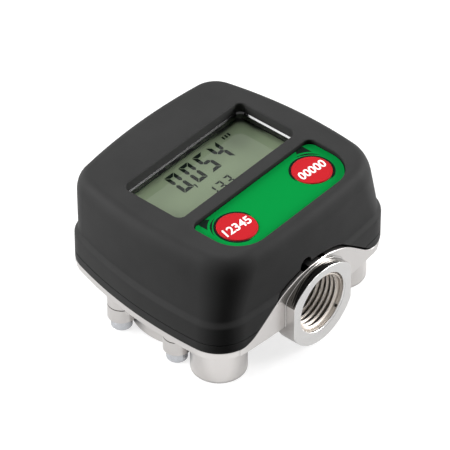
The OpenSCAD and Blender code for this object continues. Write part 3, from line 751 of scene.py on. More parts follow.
@dataclass
class Boot:
    """The rubber boot: an outer skin lofted through the meter's outlines, and its cut-outs."""

    foot_w: float = 86.36
    side_taper: float = 3.4
    depth: float = 75.0
    low_lead: float = 1.0
    low_taper: float = 1.2
    up_taper: float = 0.7
    side_r: float = 150.0
    upper_end_r: float = 200.0
    lower_end_r: float = 300.0
    upper_corner_r: float = 10.5
    foot_corner_r: float = 12.5
    crown_corner_r: float = 15.0
    foot_waist: float = -15.0
    crown_waist: float = -7.0
    wall: float = 3.3
    roof: float = 3.5
    crown_round: float = 4.3
    crown_h: float = 4.0
    straight_share: float = 0.84
    wall_pull: float = 0.58
    top_pull: float = 0.42
    band_h: float = 10.0
    band_step: float = 1.3
    step_h: float = 2.6
    lip_round: float = 0.4
    groove_rise: float = 3.5
    groove_d: float = 0.45
    groove_w: float = 0.7
    edge_round: float = 0.45
    rubber_gap: float = 0.3
    arch_gap: float = 0.7
    notch_r: float = 2.6
    notch_x: float = -3.2
    low_z: float = field(init=False)
    top_z: float = field(init=False)

    def __post_init__(self) -> None:
        """Take the boot's heights from the frame."""
        low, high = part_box("rubber_boot")
        self.low_z = low[2] / MM
        self.top_z = high[2] / MM

    def ring(self, share: float, grow: float) -> list[Flat]:
        """Outline the boot.

        Args:
            share: 0 at the display, 1 near the ground.
            grow: How far the outline is moved outwards.

        Returns:
            The outline's points, counter-clockwise.
        """
        half = self.foot_w / 2 - self.side_taper * (1 - share)
        low = (self.depth + self.low_lead) / 2 + self.low_taper * share
        up = (self.depth - self.low_lead) / 2 + self.up_taper * share
        waist = self.crown_waist + (self.foot_waist - self.crown_waist) * share
        low_r = self.crown_corner_r + (self.foot_corner_r - self.crown_corner_r) * share
        side_c = (half - self.side_r, waist)
        low_c = (0, self.lower_end_r - low)
        up_c = (0, up - self.upper_end_r)
        p = crossing(side_c, self.side_r - low_r, low_c, self.lower_end_r - low_r, -1)
        q = crossing(
            side_c, self.side_r - self.upper_corner_r, up_c, self.upper_end_r - self.upper_corner_r, 1
        )
        ends, corners, sides = 12, 20, 24
        right = (
            on_arc(low_c, self.lower_end_r + grow, -90, bearing(low_c, p), ends)
            + on_arc(p, low_r + grow, bearing(low_c, p), bearing(side_c, p), corners, 1)
            + on_arc(side_c, self.side_r + grow, bearing(side_c, p), bearing(side_c, q), sides, 1)
            + on_arc(q, self.upper_corner_r + grow, bearing(side_c, q), bearing(up_c, q), corners, 1)
            + on_arc(up_c, self.upper_end_r + grow, bearing(up_c, q), 90, ends, 1)
        )
        return right + [(-x, y) for x, y in reversed(right[1:-1])]

    def level(self, share: float, grow: float, z: float) -> list[Point]:
        """Outline the boot at a height."""
        return [(x, y, z) for x, y in self.ring(share, grow)]

    def skin(self) -> list[list[Point]]:
        """Give the outer rings.

        Returns:
            The rings, from the lower lip to the edge of the flat top.
        """
        z = self.low_z
        rings = [
            self.level(1, -self.lip_round * (1 - math.sin(a)), z + self.lip_round * (1 - math.cos(a)))
            for a in quarter_turn(3)
        ]
        groove = z + self.groove_rise
        half = 4
        for i in range(-half, half + 1):
            depth = self.groove_d * math.cos(math.pi / 2 * i / half) ** 2
            rings.append(self.level(1, -depth, groove + self.groove_w * i / (2 * half)))
        band = z + self.band_h
        rings.append(self.level(1, 0, (groove + band) / 2))
        steps = 10
        for i in range(steps + 1):
            share = i / steps
            rings.append(
                self.level(1, -self.band_step * share**2 * (3 - 2 * share), band + self.step_h * share)
            )
        return rings + self.crown(band + self.step_h)

    def crown(self, start: float) -> list[list[Point]]:
        """Give the rings of the leaning wall and the rounded upper edge.

        Args:
            start: Height at which the wall starts to lean.

        Returns:
            The rings, upwards.
        """
        tall = self.top_z - self.crown_h - start
        rise = tall * self.straight_share
        lean = (-1 / tall, self.band_step / tall, 1.0)
        foot = (1 - rise / tall, -self.band_step * (1 - rise / tall), start + rise)
        head = (0.0, -self.crown_round, self.top_z)
        pull = (self.top_z - foot[2]) * self.wall_pull
        handles = (
            foot,
            tuple(f + pull * s for f, s in zip(foot, lean)),
            (0.0, -self.crown_round * self.top_pull, self.top_z),
            head,
        )
        rings = []
        steps = 5
        for i in range(1, steps):
            share = 1 - i / steps * rise / tall
            rings.append(self.level(share, -self.band_step * share, start + rise * i / steps))
        steps = 14
        for i in range(steps + 1):
            t = i / steps
            weights = ((1 - t) ** 3, 3 * t * (1 - t) ** 2, 3 * t**2 * (1 - t), t**3)
            share, grow, z = (sum(w * h[k] for w, h in zip(weights, handles)) for k in range(3))
            rings.append(self.level(share, grow, z))
        return rings

    def shell(self, openings: Sequence[Callable[[float], list[Flat]]], ledge_z: float) -> Mesh:
        """Make the closed rubber shell with its openings in the display side.

        Args:
            openings: For each opening, what outlines it when grown by a length.
            ledge_z: Height at which the inner wall steps in.

        Returns:
            The shell.
        """
        roof_z = self.top_z - self.roof
        inner = [
            self.level(0, -self.wall, roof_z),
            self.level(0, -self.wall, ledge_z),
            self.level(1, -self.wall, ledge_z),
            self.level(1, -self.wall, self.low_z),
        ]
        outer = self.skin()
        points, faces = loft(inner + outer)
        size = len(inner[0])
        faces = faces[:-2]
        rims: list[list[int]] = []
        for outline in openings:
            holes = [
                (self.edge_round * (1 - math.sin(a)), self.top_z - self.edge_round * (1 - math.cos(a)))
                for a in quarter_turn(4)
            ]
            rings = [[(x, y, z) for x, y in outline(grow)] for grow, z in holes + [(0.0, roof_z)]]
            start = len(points)
            count = len(rings[0])
            more, walls = loft(rings)
            points += more
            faces += [[start + i for i in face] for face in walls[:-2]]
            rims.append([start + i for i in range(count)])
            rims.append([start + (len(rings) - 1) * count + i for i in range(count)])
        for edge, holes in (
            (list(range(size)), rims[1::2]),
            ([(len(inner) + len(outer) - 1) * size + i for i in range(size)], rims[0::2]),
        ):
            loops = [edge] + holes
            flat = [n for loop in loops for n in loop]
            corners = tessellate_polygon([[Vector(points[n]) for n in loop] for loop in loops])
            faces += [[flat[i] for i in corner] for corner in corners]
        return make_mesh("boot_shell", points, faces)

    def build(self, arch: "Arch", display: "Display") -> None:
        """Make the boot round the arches and the display's openings.

        Args:
            arch: The arches of both ports.
            display: The window and the label.
        """
        shell = self.shell([display.window, display.label], arch.deck_z + self.rubber_gap)
        notch = arch.notch(self.notch_x, self.notch_r, self.arch_gap)
        mesh = cut(shell, [arch.block(self.arch_gap), notch])
        mesh.shade_smooth()
        mesh.set_sharp_from_angle(angle=math.radians(CREASE))
        boot = add_piece("boot", mesh, [BOOT_RUBBER], Body.METER, ["rubber_boot"])
        flat = boot.modifiers.new("even_shading", "WEIGHTED_NORMAL")
        flat.keep_sharp = True


@dataclass
class Arch:
    """The arch over each port, where the casting shows in the boot's sides."""

    top_z: float = 31.5775
    deck_z: float = 30.1775
    foot_z: float = 16.2
    r: float = 31.0
    slope: float = 40.0
    foot_r: float = 12.0
    reach: float = 45.0

    def outline(self, grow: float) -> list[Flat]:
        """Outline the arch across X and Z.

        Args:
            grow: How far the outline is moved outwards.

        Returns:
            Its points, with the feet led down below the boot.
        """
        steps = 16
        r, foot_r, centre = self.r + grow, self.foot_r - grow, self.top_z - self.r
        turns = [math.radians(self.slope * i / steps) for i in range(steps + 1)]
        crown = [(r * math.sin(t), centre + r * math.cos(t)) for t in turns]
        x1, z1 = crown[-1]
        z2 = self.foot_z + foot_r * (1 - math.cos(turns[-1]))
        x3 = x1 + (z1 - z2) / math.tan(turns[-1]) + foot_r * math.sin(turns[-1])
        foot = [
            (x3 - foot_r * math.sin(t), self.foot_z + foot_r * (1 - math.cos(t))) for t in reversed(turns)
        ]
        half = crown + foot + [(x3, self.foot_z - 2)]
        return half + [(-x, z) for x, z in reversed(half[1:])]

    def block(self, grow: float) -> Mesh:
        """Give the arch as a block through the whole meter."""
        rings = [[(x, y, z) for x, z in self.outline(grow)] for y in (-self.reach, self.reach)]
        return make_mesh("arch_block", *loft(rings))

    def notch(self, x: float, r: float, gap: float) -> Mesh:
        """Give the round bar that cuts the boot's vent notch over the outlet's arch.

        Args:
            x: X of the bar's axis.
            r: Its radius.
            gap: How far its axis lies above the arch.

        Returns:
            The bar.
        """
        steps = 24
        rings = [
            [
                (x + r * math.cos(TURN * i / steps), y, self.top_z + gap + r * math.sin(TURN * i / steps))
                for i in range(steps)
            ]
            for y in (-self.reach, 0.0)
        ]
        return make_mesh("notch_bar", *loft(rings))


class Segment(Enum):
    """The seven bars of a digit, each with its ends on the digit's grid."""

    TOP = ((0, 2), (1, 2))
    UPPER_LEFT = ((0, 1), (0, 2))
    UPPER_RIGHT = ((1, 1), (1, 2))
    MIDDLE = ((0, 1), (1, 1))
    LOWER_LEFT = ((0, 0), (0, 1))
    LOWER_RIGHT = ((1, 0), (1, 1))
    BOTTOM = ((0, 0), (1, 0))


DIGITS: dict[str, tuple[Segment, ...]] = {
    "0": tuple(s for s in Segment if s is not Segment.MIDDLE),
    "1": (Segment.UPPER_RIGHT, Segment.LOWER_RIGHT),
    "3": (Segment.TOP, Segment.UPPER_RIGHT, Segment.MIDDLE, Segment.LOWER_RIGHT, Segment.BOTTOM),
    "4": (Segment.UPPER_LEFT, Segment.UPPER_RIGHT, Segment.MIDDLE, Segment.LOWER_RIGHT),
    "5": (Segment.TOP, Segment.UPPER_LEFT, Segment.MIDDLE, Segment.LOWER_RIGHT, Segment.BOTTOM),
}


@dataclass
class Print:
    """A flat print: outlines raised by a hair's breadth over the face that carries them."""

    low_z: float
    thick: float = 0.03
    points: list[Point] = field(default_factory=list)
    faces: list[list[int]] = field(default_factory=list)

    def add(self, outline: Sequence[Flat]) -> None:
        """Add one closed outline, convex or not.

        Args:
            outline: Its points in order.
        """
        start = len(self.points)
        rings = [[(x, y, z) for x, y in outline] for z in (self.low_z, self.low_z + self.thick)]
        points, faces = loft(rings)
        self.points += points
        self.faces += [[start + i for i in face] for face in faces]

    def crescent(self, centre: Flat, r: float, width: float, start: float, end: float, fade: float) -> None:
        """Add an arc whose ends run out to a point.

        Args:
            centre: Centre of the arc.
            r: Radius of its middle line.
            width: Its full width.
            start: First bearing in degrees.
            end: Last bearing in degrees.
            fade: Share of its length over which each end narrows.
        """
        steps = 48
        outer, inner = [], []
        for i in range(steps + 1):
            share = i / steps
            half = width / 2 * min(1.0, max(0.08, min(share, 1 - share) / fade))
            turn = math.radians(start + (end - start) * share)
            for line, side in ((outer, half), (inner, -half)):
                far = r + side
                line.append((centre[0] + far * math.cos(turn), centre[1] + far * math.sin(turn)))
        self.add(outer + inner[::-1])

    def mesh(self, name: str) -> Mesh:
        """Give the print as a mesh."""
        return make_mesh(name, self.points, self.faces)


@dataclass(frozen=True)
class DigitRow:
    """A row of slanted seven-segment digits."""

    text: str
    left: float
    low: float
    width: float
    height: float
    pitch: float
    bar: float
    gap: float = 0.12
    slant: float = 0.085
    tip_share: float = 0.6

    def place(self, start: float, x: float, y: float) -> Flat:
        """Put a point of a digit on the glass, slanted."""
        return (start + x + self.slant * y, self.low + y)

    def draw(self, target: Print) -> None:
        """Draw the row's digits.

        Args:
            target: The print that gets them.
        """
        for i, letter in enumerate(self.text):
            start = self.left + self.pitch * i
            for segment in DIGITS[letter]:
                target.add([self.place(start, x, y) for x, y in self.bar_outline(segment)])

    def bar_outline(self, segment: Segment) -> list[Flat]:
        """Outline one bar: mitred at the digit's corners, pointed at its middle.

        Args:
            segment: The bar.

        Returns:
            Its points in order, from the digit's lower left corner.
        """
        (gx0, gy0), (gx1, gy1) = segment.value
        t, g = self.bar, self.gap
        w, h = self.width, self.height
        if gy0 == gy1 == 1:
            y, tip = h / 2, t * self.tip_share
            lower = [(tip, y), (t, y - t / 2), (w - t, y - t / 2)]
            return lower + [(w - tip, y), (w - t, y + t / 2), (t, y + t / 2)]
        if gy0 == gy1:
            y, inward = (h, -1) if gy0 == 2 else (0.0, 1)
            return [(g, y), (w - g, y), (w - t - g, y + inward * t), (t + g, y + inward * t)]
        x, inward = (0.0, 1) if gx0 == 0 else (w, -1)
        corner = h if gy1 == 2 else 0.0
        away = -1 if gy1 == 2 else 1
        middle = h / 2
        return [
            (x, corner + away * g),
            (x + inward * t, corner + away * (t + g)),
            (x + inward * t, middle - away * (t / 2 + g)),
            (x + inward * t / 2, middle - away * g),
            (x, middle - away * (t / 2 + g)),
        ]


@dataclass
class Display:
    """The window with its liquid-crystal glass, and the keypad label with its two buttons."""

    half_window: float = 28.4
    window_low: float = -7.3
    window_up: float = 16.9
    window_r: float = 2.5
    half_label: float = 28.9
    label_low: float = -32.9
    label_up: float = -11.8
    label_upper_r: float = 3.0
    label_lower_r: float = 11.0
    button_x: float = 18.25
    button_y: float = -22.1
    button_r: float = 6.65
    button_edge: float = 0.35
    dome_h: float = 0.06
    stem_r: float = 2.0
    flange_w: float = 0.45
    flange_t: float = 0.8
    flange_depth: float = 2.55
    digits: tuple[DigitRow, ...] = (
        DigitRow("0054", left=-10.9, low=5.9, width=4.5, height=9.7, pitch=6.74, bar=1.4, gap=0.14),
        DigitRow("133", left=-5.65, low=-3.15, width=2.45, height=4.95, pitch=3.8, bar=0.7, gap=0.07),
    )
    comma: tuple[Flat, ...] = (
        (-6.3, 6.7), (-5.6, 6.7), (-5.45, 6.0), (-6.0, 4.6), (-6.3, 4.7), (-6.05, 6.0),
    )
    unit_xs: tuple[float, ...] = (17.4, 18.7, 20.0)
    unit_low: float = 13.9
    unit_w: float = 0.7
    unit_h: float = 1.5
    unit_lean: float = 0.15
    ring_r: float = 7.12
    ring_w: float = 0.72
    ring_span: Flat = (2, 264)
    ring_fade: float = 0.06
    rim_r: float = 8.2
    rim_w: float = 0.66
    rim_span: Flat = (98, 160)
    rim_fade: float = 0.4
    tab_r: float = 9.32
    tab_span: Flat = (108.5, 139.6)
    tab_x: float = 22.1
    tab_end_x: float = 25.45
    tab_gap: float = 0.35
    numbers: tuple[str, str] = ("12345", "00000")
    number_w: float = 11.0
    number_h: float = 3.6
    number_lean: float = 0.16
    number_turn: float = -5.0
    ink_t: float = 0.03
    glass_z: float = field(init=False)
    label_z: float = field(init=False)

    def __post_init__(self) -> None:
        """Take the heights of the glass and the label from the frame."""
        self.glass_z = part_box("display_glass")[1][2] / MM
        self.label_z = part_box("keypad_label")[1][2] / MM

    def window(self, grow: float) -> list[Flat]:
        """Outline the display window."""
        return panel_ring(
            self.half_window, self.window_low, self.window_up, self.window_r, self.window_r, grow
        )

    def label(self, grow: float) -> list[Flat]:
        """Outline the keypad label's opening."""
        return panel_ring(
            self.half_label, self.label_low, self.label_up, self.label_upper_r, self.label_lower_r, grow
        )

    def build_reading(self) -> None:
        """Lay the dark segments on the liquid-crystal glass."""
        reading = Print(self.glass_z, 0.02)
        for row in self.digits:
            row.draw(reading)
        reading.add(self.comma)
        low, top = self.unit_low, self.unit_low + self.unit_h
        for x in self.unit_xs:
            end = x + self.unit_w
            reading.add([(x, low), (end, low), (end + self.unit_lean, top), (x + self.unit_lean, top)])
        mesh = reading.mesh("display_segments")
        add_piece("display_segments", mesh, [LCD_SEGMENT], Body.METER)

    def build_label_print(self) -> None:
        """Lay the dark print on the label: corner tabs, and crescents and rings round the buttons."""
        ink = Print(self.label_z)
        for side in (-1, 1):
            centre = (side * self.button_x, self.button_y)
            ring, rim, tab = (
                span if side < 0 else [180 - turn for turn in span]
                for span in (self.ring_span, self.rim_span, self.tab_span)
            )
            ink.crescent(centre, self.ring_r, self.ring_w, *ring, self.ring_fade)
            ink.crescent(centre, self.rim_r, self.rim_w, *rim, self.rim_fade)
            top = self.label_up - self.tab_gap
            arc = on_arc(centre, self.tab_r, *tab, 12)
            ink.add([(side * self.tab_end_x, top), (side * self.tab_x, top)] + arc)
        add_piece("label_print", ink.mesh("label_print"), [LABEL_INK], Body.METER)

    def build_button(self, body: Body, side: int) -> None:
        """Make a button with a rounded, slightly domed cap.

        Args:
            body: The button's body, named as its node.
            side: -1 for the left button, 1 for the right one.
        """
        low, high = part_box(body.value)
        bottom, top = low[2] / MM, high[2] / MM
        centre = (side * self.button_x, self.button_y)
        flange_top = self.label_z - self.flange_depth
        flange_low = flange_top - self.flange_t
        flange_r = self.button_r + self.flange_w
        edge = [
            (
                self.button_r - self.button_edge * (1 - math.cos(a)),
                top - self.dome_h - self.button_edge * (1 - math.sin(a)),
            )
            for a in quarter_turn(6)
        ]
        shares = (0.8, 0.6, 0.4, 0.2, 0.0)
        dome = [(self.button_r * share, top - self.dome_h * share**2) for share in shares]
        profile = [
            (0.0, bottom),
            (self.stem_r, bottom),
            (self.stem_r, flange_low),
            (flange_r, flange_low),
            (flange_r, flange_top),
            (self.button_r, flange_top),
        ]
        mesh = make_mesh(body.value, *lathe(profile + edge + dome, centre))
        add_piece(f"{body.value}_cap", mesh, [BUTTON_RED], body, [body.value])
        number = flat_text(self.numbers[side > 0], self.number_w, self.number_h, self.ink_t)
        lean = Matrix.Identity(4)
        lean[0][1] = self.number_lean
        turn = Matrix.Rotation(math.radians(self.number_turn), 4, "Z")
        number.transform(Matrix.Translation(Vector((*centre, top - self.ink_t)) * MM) @ turn @ lean)
        add_piece(f"{body.value}_number", number, [BUTTON_INK], body)

    def build(self) -> None:
        """Make the reading, the label's print and both buttons."""
        self.build_reading()
        self.build_label_print()
        self.build_button(Body.TOTAL_BUTTON, -1)
        self.build_button(Body.RESET_BUTTON, 1)


def flat_text(text: str, width: float, height: float, thick: float) -> Mesh:
    """Make bold characters as a thin solid, centred on the origin.

    Args:
        text: The characters.
        width: Width of the whole text in millimetres.
        height: Height of a character.
        thick: Thickness of the ink.

    Returns:
        The solid, from Z = 0 upwards.
    """
    curve = bpy.data.curves.new("text_work", "FONT")
    curve.body = text
    curve.size = 1
    curve.offset = BOLDNESS
    curve.extrude = 0.5
    mesh = evaluated(link_object("text_work", curve))
    spans = [[v.co[k] for v in mesh.vertices] for k in range(3)]
    low = Vector([min(span) for span in spans])
    size = Vector([max(span) for span in spans]) - low
    centre = low + Vector((size.x / 2, size.y / 2, 0))
    scale = Matrix.Diagonal((width / size.x * MM, height / size.y * MM, thick / size.z * MM, 1))
    mesh.transform(scale @ Matrix.Translation(-centre))
    return mesh


def start_tree(name: str, inputs: dict[str, str]) -> Tree:
    """Start a Geometry Nodes tree.

    Args:
        name: Its name.
        inputs: The kind of each input after the geometry, by the input's name.

    Returns:
        The tree, with its sockets.
    """
    tree = bpy.data.node_groups.new(name, "GeometryNodeTree")
    for socket, kind in {"Geometry": "Geometry", **inputs}.items():
        tree.interface.new_socket(socket, in_out="INPUT", socket_type=f"NodeSocket{kind}")
    tree.interface.new_socket("Geometry", in_out="OUTPUT", socket_type="NodeSocketGeometry")
    return tree


def end_tree(tree: Tree, shape: Node, finish: Socket) -> None:
    """Lead a shape to a tree's output, with its instances realised and its material set.

    Args:
        tree: The tree.
        shape: The node that gives the shape.
        finish: The material.
    """
    real = add_node(tree, "GeometryNodeRealizeInstances", {0: shape.outputs[0]})
    inputs = {"Geometry": real.outputs[0], "Material": finish}
    finished = add_node(tree, "GeometryNodeSetMaterial", inputs)
    add_node(tree, "NodeGroupOutput", {0: finished.outputs[0]})


class ThreadMaker:
    """A Geometry Nodes tree that sweeps a thread's ridge along a helix, fading at both ends."""

    FADE_TURNS = 0.3
    END_SCALE = 0.02

    def __init__(self) -> None:
        """Build the tree once."""
        sizes = ("Radius", "Pitch", "Turns", "Ridge Depth", "Crest Width", "Profile Turn")
        inputs = {size: "Float" for size in sizes} | {"Steps": "Int", "Finish": "Material"}
        tree = start_tree("thread_ridge", inputs)
        given = add_node(tree, "NodeGroupInput").outputs
        inputs = {0: given["Pitch"], 1: given["Turns"]}
        length = add_node(tree, "ShaderNodeMath", inputs, operation="MULTIPLY")
        inputs = {
            "Resolution": given["Steps"],
            "Rotations": given["Turns"],
            "Start Radius": given["Radius"],
            "End Radius": given["Radius"],
            "Height": length.outputs[0],
        }
        helix = add_node(tree, "GeometryNodeCurveSpiral", inputs)
        upright = add_node(tree, "GeometryNodeSetCurveNormal", {"Curve": helix.outputs[0]}, mode="Z_UP")
        along = add_node(tree, "GeometryNodeSplineParameter").outputs["Factor"]
        back = add_node(tree, "ShaderNodeMath", {0: 1.0, 1: along}, operation="SUBTRACT")
        inputs = {0: along, 1: back.outputs[0]}
        nearest = add_node(tree, "ShaderNodeMath", inputs, operation="MINIMUM")
        inputs = {0: nearest.outputs[0], 1: given["Turns"]}
        turns = add_node(tree, "ShaderNodeMath", inputs, operation="MULTIPLY")
        inputs = {"Value": turns.outputs[0], "From Max": self.FADE_TURNS, "To Min": self.END_SCALE}
        fade = add_node(tree, "ShaderNodeMapRange", inputs)
        inputs = {
            "Bottom Width": given["Pitch"],
            "Top Width": given["Crest Width"],
            "Height": given["Ridge Depth"],
            "Offset": 0.0,
        }
        profile = add_node(tree, "GeometryNodeCurvePrimitiveQuadrilateral", inputs, mode="TRAPEZOID")
        lay = add_node(tree, "ShaderNodeCombineXYZ", {"Z": given["Profile Turn"]})
        inputs = {"Geometry": profile.outputs[0], "Rotation": lay.outputs[0]}
        turned = add_node(tree, "GeometryNodeTransform", inputs)
        inputs = {
            "Curve": upright.outputs[0],
            "Profile Curve": turned.outputs[0],
            "Scale": fade.outputs["Result"],
            "Fill Caps": True,
        }
        sweep = add_node(tree, "GeometryNodeCurveToMesh", inputs)
        end_tree(tree, sweep, given["Finish"])
        self.tree = tree

    def make(
        self, radius: float, pitch: float, turns: float, depth: float, crest: float, steps: int,
        finish: Finish,
    ) -> Mesh:
        """Make one ridge about the Z axis, from Z = 0 upwards.

        Args:
            radius: Radius of the helix that the ridge's middle follows.
            pitch: Rise in one turn.
            turns: Turns of the ridge.
            depth: Depth of the ridge, below zero where its crest points to the axis.
            crest: Width of its crest.
            steps: Points along one turn.
            finish: Its finish.

        Returns:
            The ridge, in metres.
        """
        work = link_object("thread_work", bpy.data.meshes.new("thread_work"))
        values = {
            "Radius": radius * MM,
            "Pitch": pitch * MM,
            "Turns": turns,
            "Ridge Depth": abs(depth) * MM,
            "Crest Width": crest * MM,
            "Profile Turn": math.copysign(TURN / 4, depth),
            "Steps": steps,
            "Finish": finish.material(),
        }
        grow(work, self.tree, values)
        return evaluated(work)


class CopyMaker:
    """A Geometry Nodes tree that sets a copy of one piece on each point of a mesh."""

    def __init__(self) -> None:
        """Build the tree once."""
        tree = start_tree("copies_on_points", {"Piece": "Object", "Finish": "Material"})
        given = add_node(tree, "NodeGroupInput").outputs
        piece = add_node(tree, "GeometryNodeObjectInfo", {"Object": given["Piece"]})
        inputs = {"Points": given["Geometry"], "Instance": piece.outputs["Geometry"]}
        copies = add_node(tree, "GeometryNodeInstanceOnPoints", inputs)
        end_tree(tree, copies, given["Finish"])
        self.tree = tree

    def make(self, piece: Mesh, places: Sequence[Point], finish: Finish) -> Mesh:
        """Copy a piece to each place.

        Args:
            piece: The piece, about the origin.
            places: Where its copies go.
            finish: Their finish.

        Returns:
            All copies as one mesh.
        """
        points = bpy.data.meshes.new("places")
        points.from_pydata([Vector(p) * MM for p in places], [], [])
        work = link_object("copies_work", points)
        pattern = link_object("copies_piece", piece)
        grow(work, self.tree, {"Piece": pattern, "Finish": finish.material()})
        result = evaluated(work)
        bpy.data.objects.remove(pattern)
        return result


def grow(piece: bpy.types.Object, tree: Tree, values: dict) -> None:
    """Give an object a Geometry Nodes modifier, with its inputs set by their identifiers.

    Args:
        piece: The object.
        tree: The modifier's tree.
        values: The value of each input, by the input's name.
    """
    step = piece.modifiers.new("grown", "NODES")
    step.node_group = tree
    for item in tree.interface.items_tree:
        if item.item_type == "SOCKET" and item.in_out == "INPUT" and item.name in values:
            step[item.identifier] = values[item.name]


def joined(meshes: Sequence[Mesh]) -> Mesh:
    """Join meshes into one.

    Args:
        meshes: The meshes, in one frame.

    Returns:
        All of them as one smooth-shaded mesh.
    """
    work = bmesh.new()
    for mesh in meshes:
        work.from_mesh(mesh)
    result = bpy.data.meshes.new("joined")
    work.to_mesh(result)
    work.free()
    result.shade_smooth()
    result.set_sharp_from_angle(angle=math.radians(CREASE))
    return result


class Skin(IntEnum):
    """The finishes of the cast body, each by its place in the piece's list."""

    CAST = 0
    TURNED = 1
    THREAD = 2
    # Faces painted dark: a painted reflection of the boot on the bosses' sides
    BOSS_SIDE = 3
    # Faces with painted shade: the rounded edges in the joint
    JOINT = 4


@dataclass
class Casting:
    """The cast body with its ports, and the cover of the gear chamber."""

    port_z: float = 16.5
    thread_r: float = 10.4775
    thread_minor_r: float = 9.32
    pitch: float = 1.814
    thread_depth: float = 15.0
    mouth: float = 0.6
    face_y: float = 42.5
    edge: float = 0.22
    crease: float = 48.0
    crest_share: float = 0.2
    boss_low_r: float = 13.2
    boss_r: float = 15.3
    crown_r: float = 18.0
    crown_z: float = 12.2
    boss_foot_y: float = 35.5
    thread_steps: int = 64
    runout_turns: float = 0.5
    lead_share: float = 0.15
    slack: float = 0.1
    rounded: Flat = (0.15, 0.98)
    facing_out: float = 0.2
    along_axis: float = 0.5
    upright: float = 0.96
    joint_z: float = field(init=False)

    def __post_init__(self) -> None:
        """Take the height of the joint under the body from the frame."""
        self.joint_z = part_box("chamber_cover")[1][2] / MM

    def build(self, threads: ThreadMaker) -> None:
        """Make the softened casting and cover, and the threads of both ports.

        Args:
            threads: What makes the ridge.
        """
        body = softened(NODES["meter_body"], self.edge, crease=self.crease)
        for face in body.polygons:
            face.material_index = self.worked(face)
        finishes = [CAST_ALUMINIUM, TURNED_ALUMINIUM, CUT_THREAD, BOSS_SIDE, JOINT_GRIME]
        add_piece("cast_body", body, finishes, Body.METER, ["meter_body"])
        cover = softened(NODES["chamber_cover"], self.edge, clamp=True)
        for face in cover.polygons:
            # The cover's rounded edges at the joint get the painted shade too
            face.material_index = int(self.in_joint(face))
        finishes = [CAST_ALUMINIUM, JOINT_GRIME]
        add_piece("cast_cover", cover, finishes, Body.METER, ["chamber_cover"])
        depth = self.thread_r - self.thread_minor_r
        turns = (self.thread_depth - self.mouth) / self.pitch - self.runout_turns
        middle_r, crest = self.thread_r - depth / 2, self.pitch * self.crest_share
        ridge = threads.make(middle_r, self.pitch, turns, -depth, crest, self.thread_steps, CUT_THREAD)
        ridge.shade_smooth()
        for face in ridge.polygons:
            # Crest faces get the lighter finish, a painted highlight along each crest
            face.material_index = int(face.center.xy.length < (self.thread_minor_r + self.slack) * MM)
        for port in Port:
            mesh = ridge.copy()
            mesh.transform(self.port_frame(port))
            name = f"{port.name.lower()}_thread"
            add_piece(name, mesh, [CUT_THREAD, THREAD_CREST], Body.METER)

    def port_frame(self, port: Port) -> Matrix:
        """Give what leads from the Z axis to a port's axis, inwards from its mouth.

        Args:
            port: The port.

        Returns:
            The turn and the shift, in metres.
        """
        start = self.face_y - self.mouth - self.pitch * self.lead_share
        turn = Matrix.Rotation(math.radians(90 * port.value), 4, "X")
        return Matrix.Translation(Vector((0, port.value * start, self.port_z)) * MM) @ turn

    def in_joint(self, face: bpy.types.MeshPolygon) -> bool:
        """Tell whether a face is part of the rounded edges where the cover meets the body.

        Args:
            face: A face of the body or the cover.

        Returns:
            Whether it is.
        """
        centre = face.center / MM
        if abs(centre.z - self.joint_z) > self.edge or abs(centre.y) > self.boss_foot_y:
            return False
        return self.rounded[0] < abs(face.normal.z) < self.rounded[1]

    def worked(self, face: bpy.types.MeshPolygon) -> Skin:
        """Give a face of the body its finish by its place and its normal: cast, turned or threaded, with
        painted shade in the joint and a painted dark reflection on the bosses' sides.

        Args:
            face: The face.

        Returns:
            Its finish.
        """
        # Painted shade in the joint between the body and the cover
        if self.in_joint(face):
            return Skin.JOINT
        centre, normal = face.center / MM, face.normal
        out = math.hypot(centre.x, centre.z - self.port_z)
        depth = self.face_y - abs(centre.y)
        if depth < self.edge and (abs(normal.y) > self.facing_out or out > self.boss_low_r):
            return Skin.TURNED
        if depth < self.mouth + self.edge and out < self.boss_low_r:
            return Skin.TURNED
        if out < self.thread_r + self.slack and depth < self.thread_depth + self.slack:
            return Skin.THREAD
        crown = math.hypot(centre.x, centre.z - self.crown_z)
        on_boss = abs(crown - self.crown_r) < self.edge or abs(out - self.boss_r) < self.edge
        side = abs(normal.y) < self.along_axis and abs(normal.x) < self.upright
        # The bosses' upper sides get the finish painted dark, a painted reflection of the boot above
        if side and on_boss and centre.z > self.port_z and abs(centre.y) > self.boss_foot_y:
            return Skin.BOSS_SIDE
        return Skin.CAST


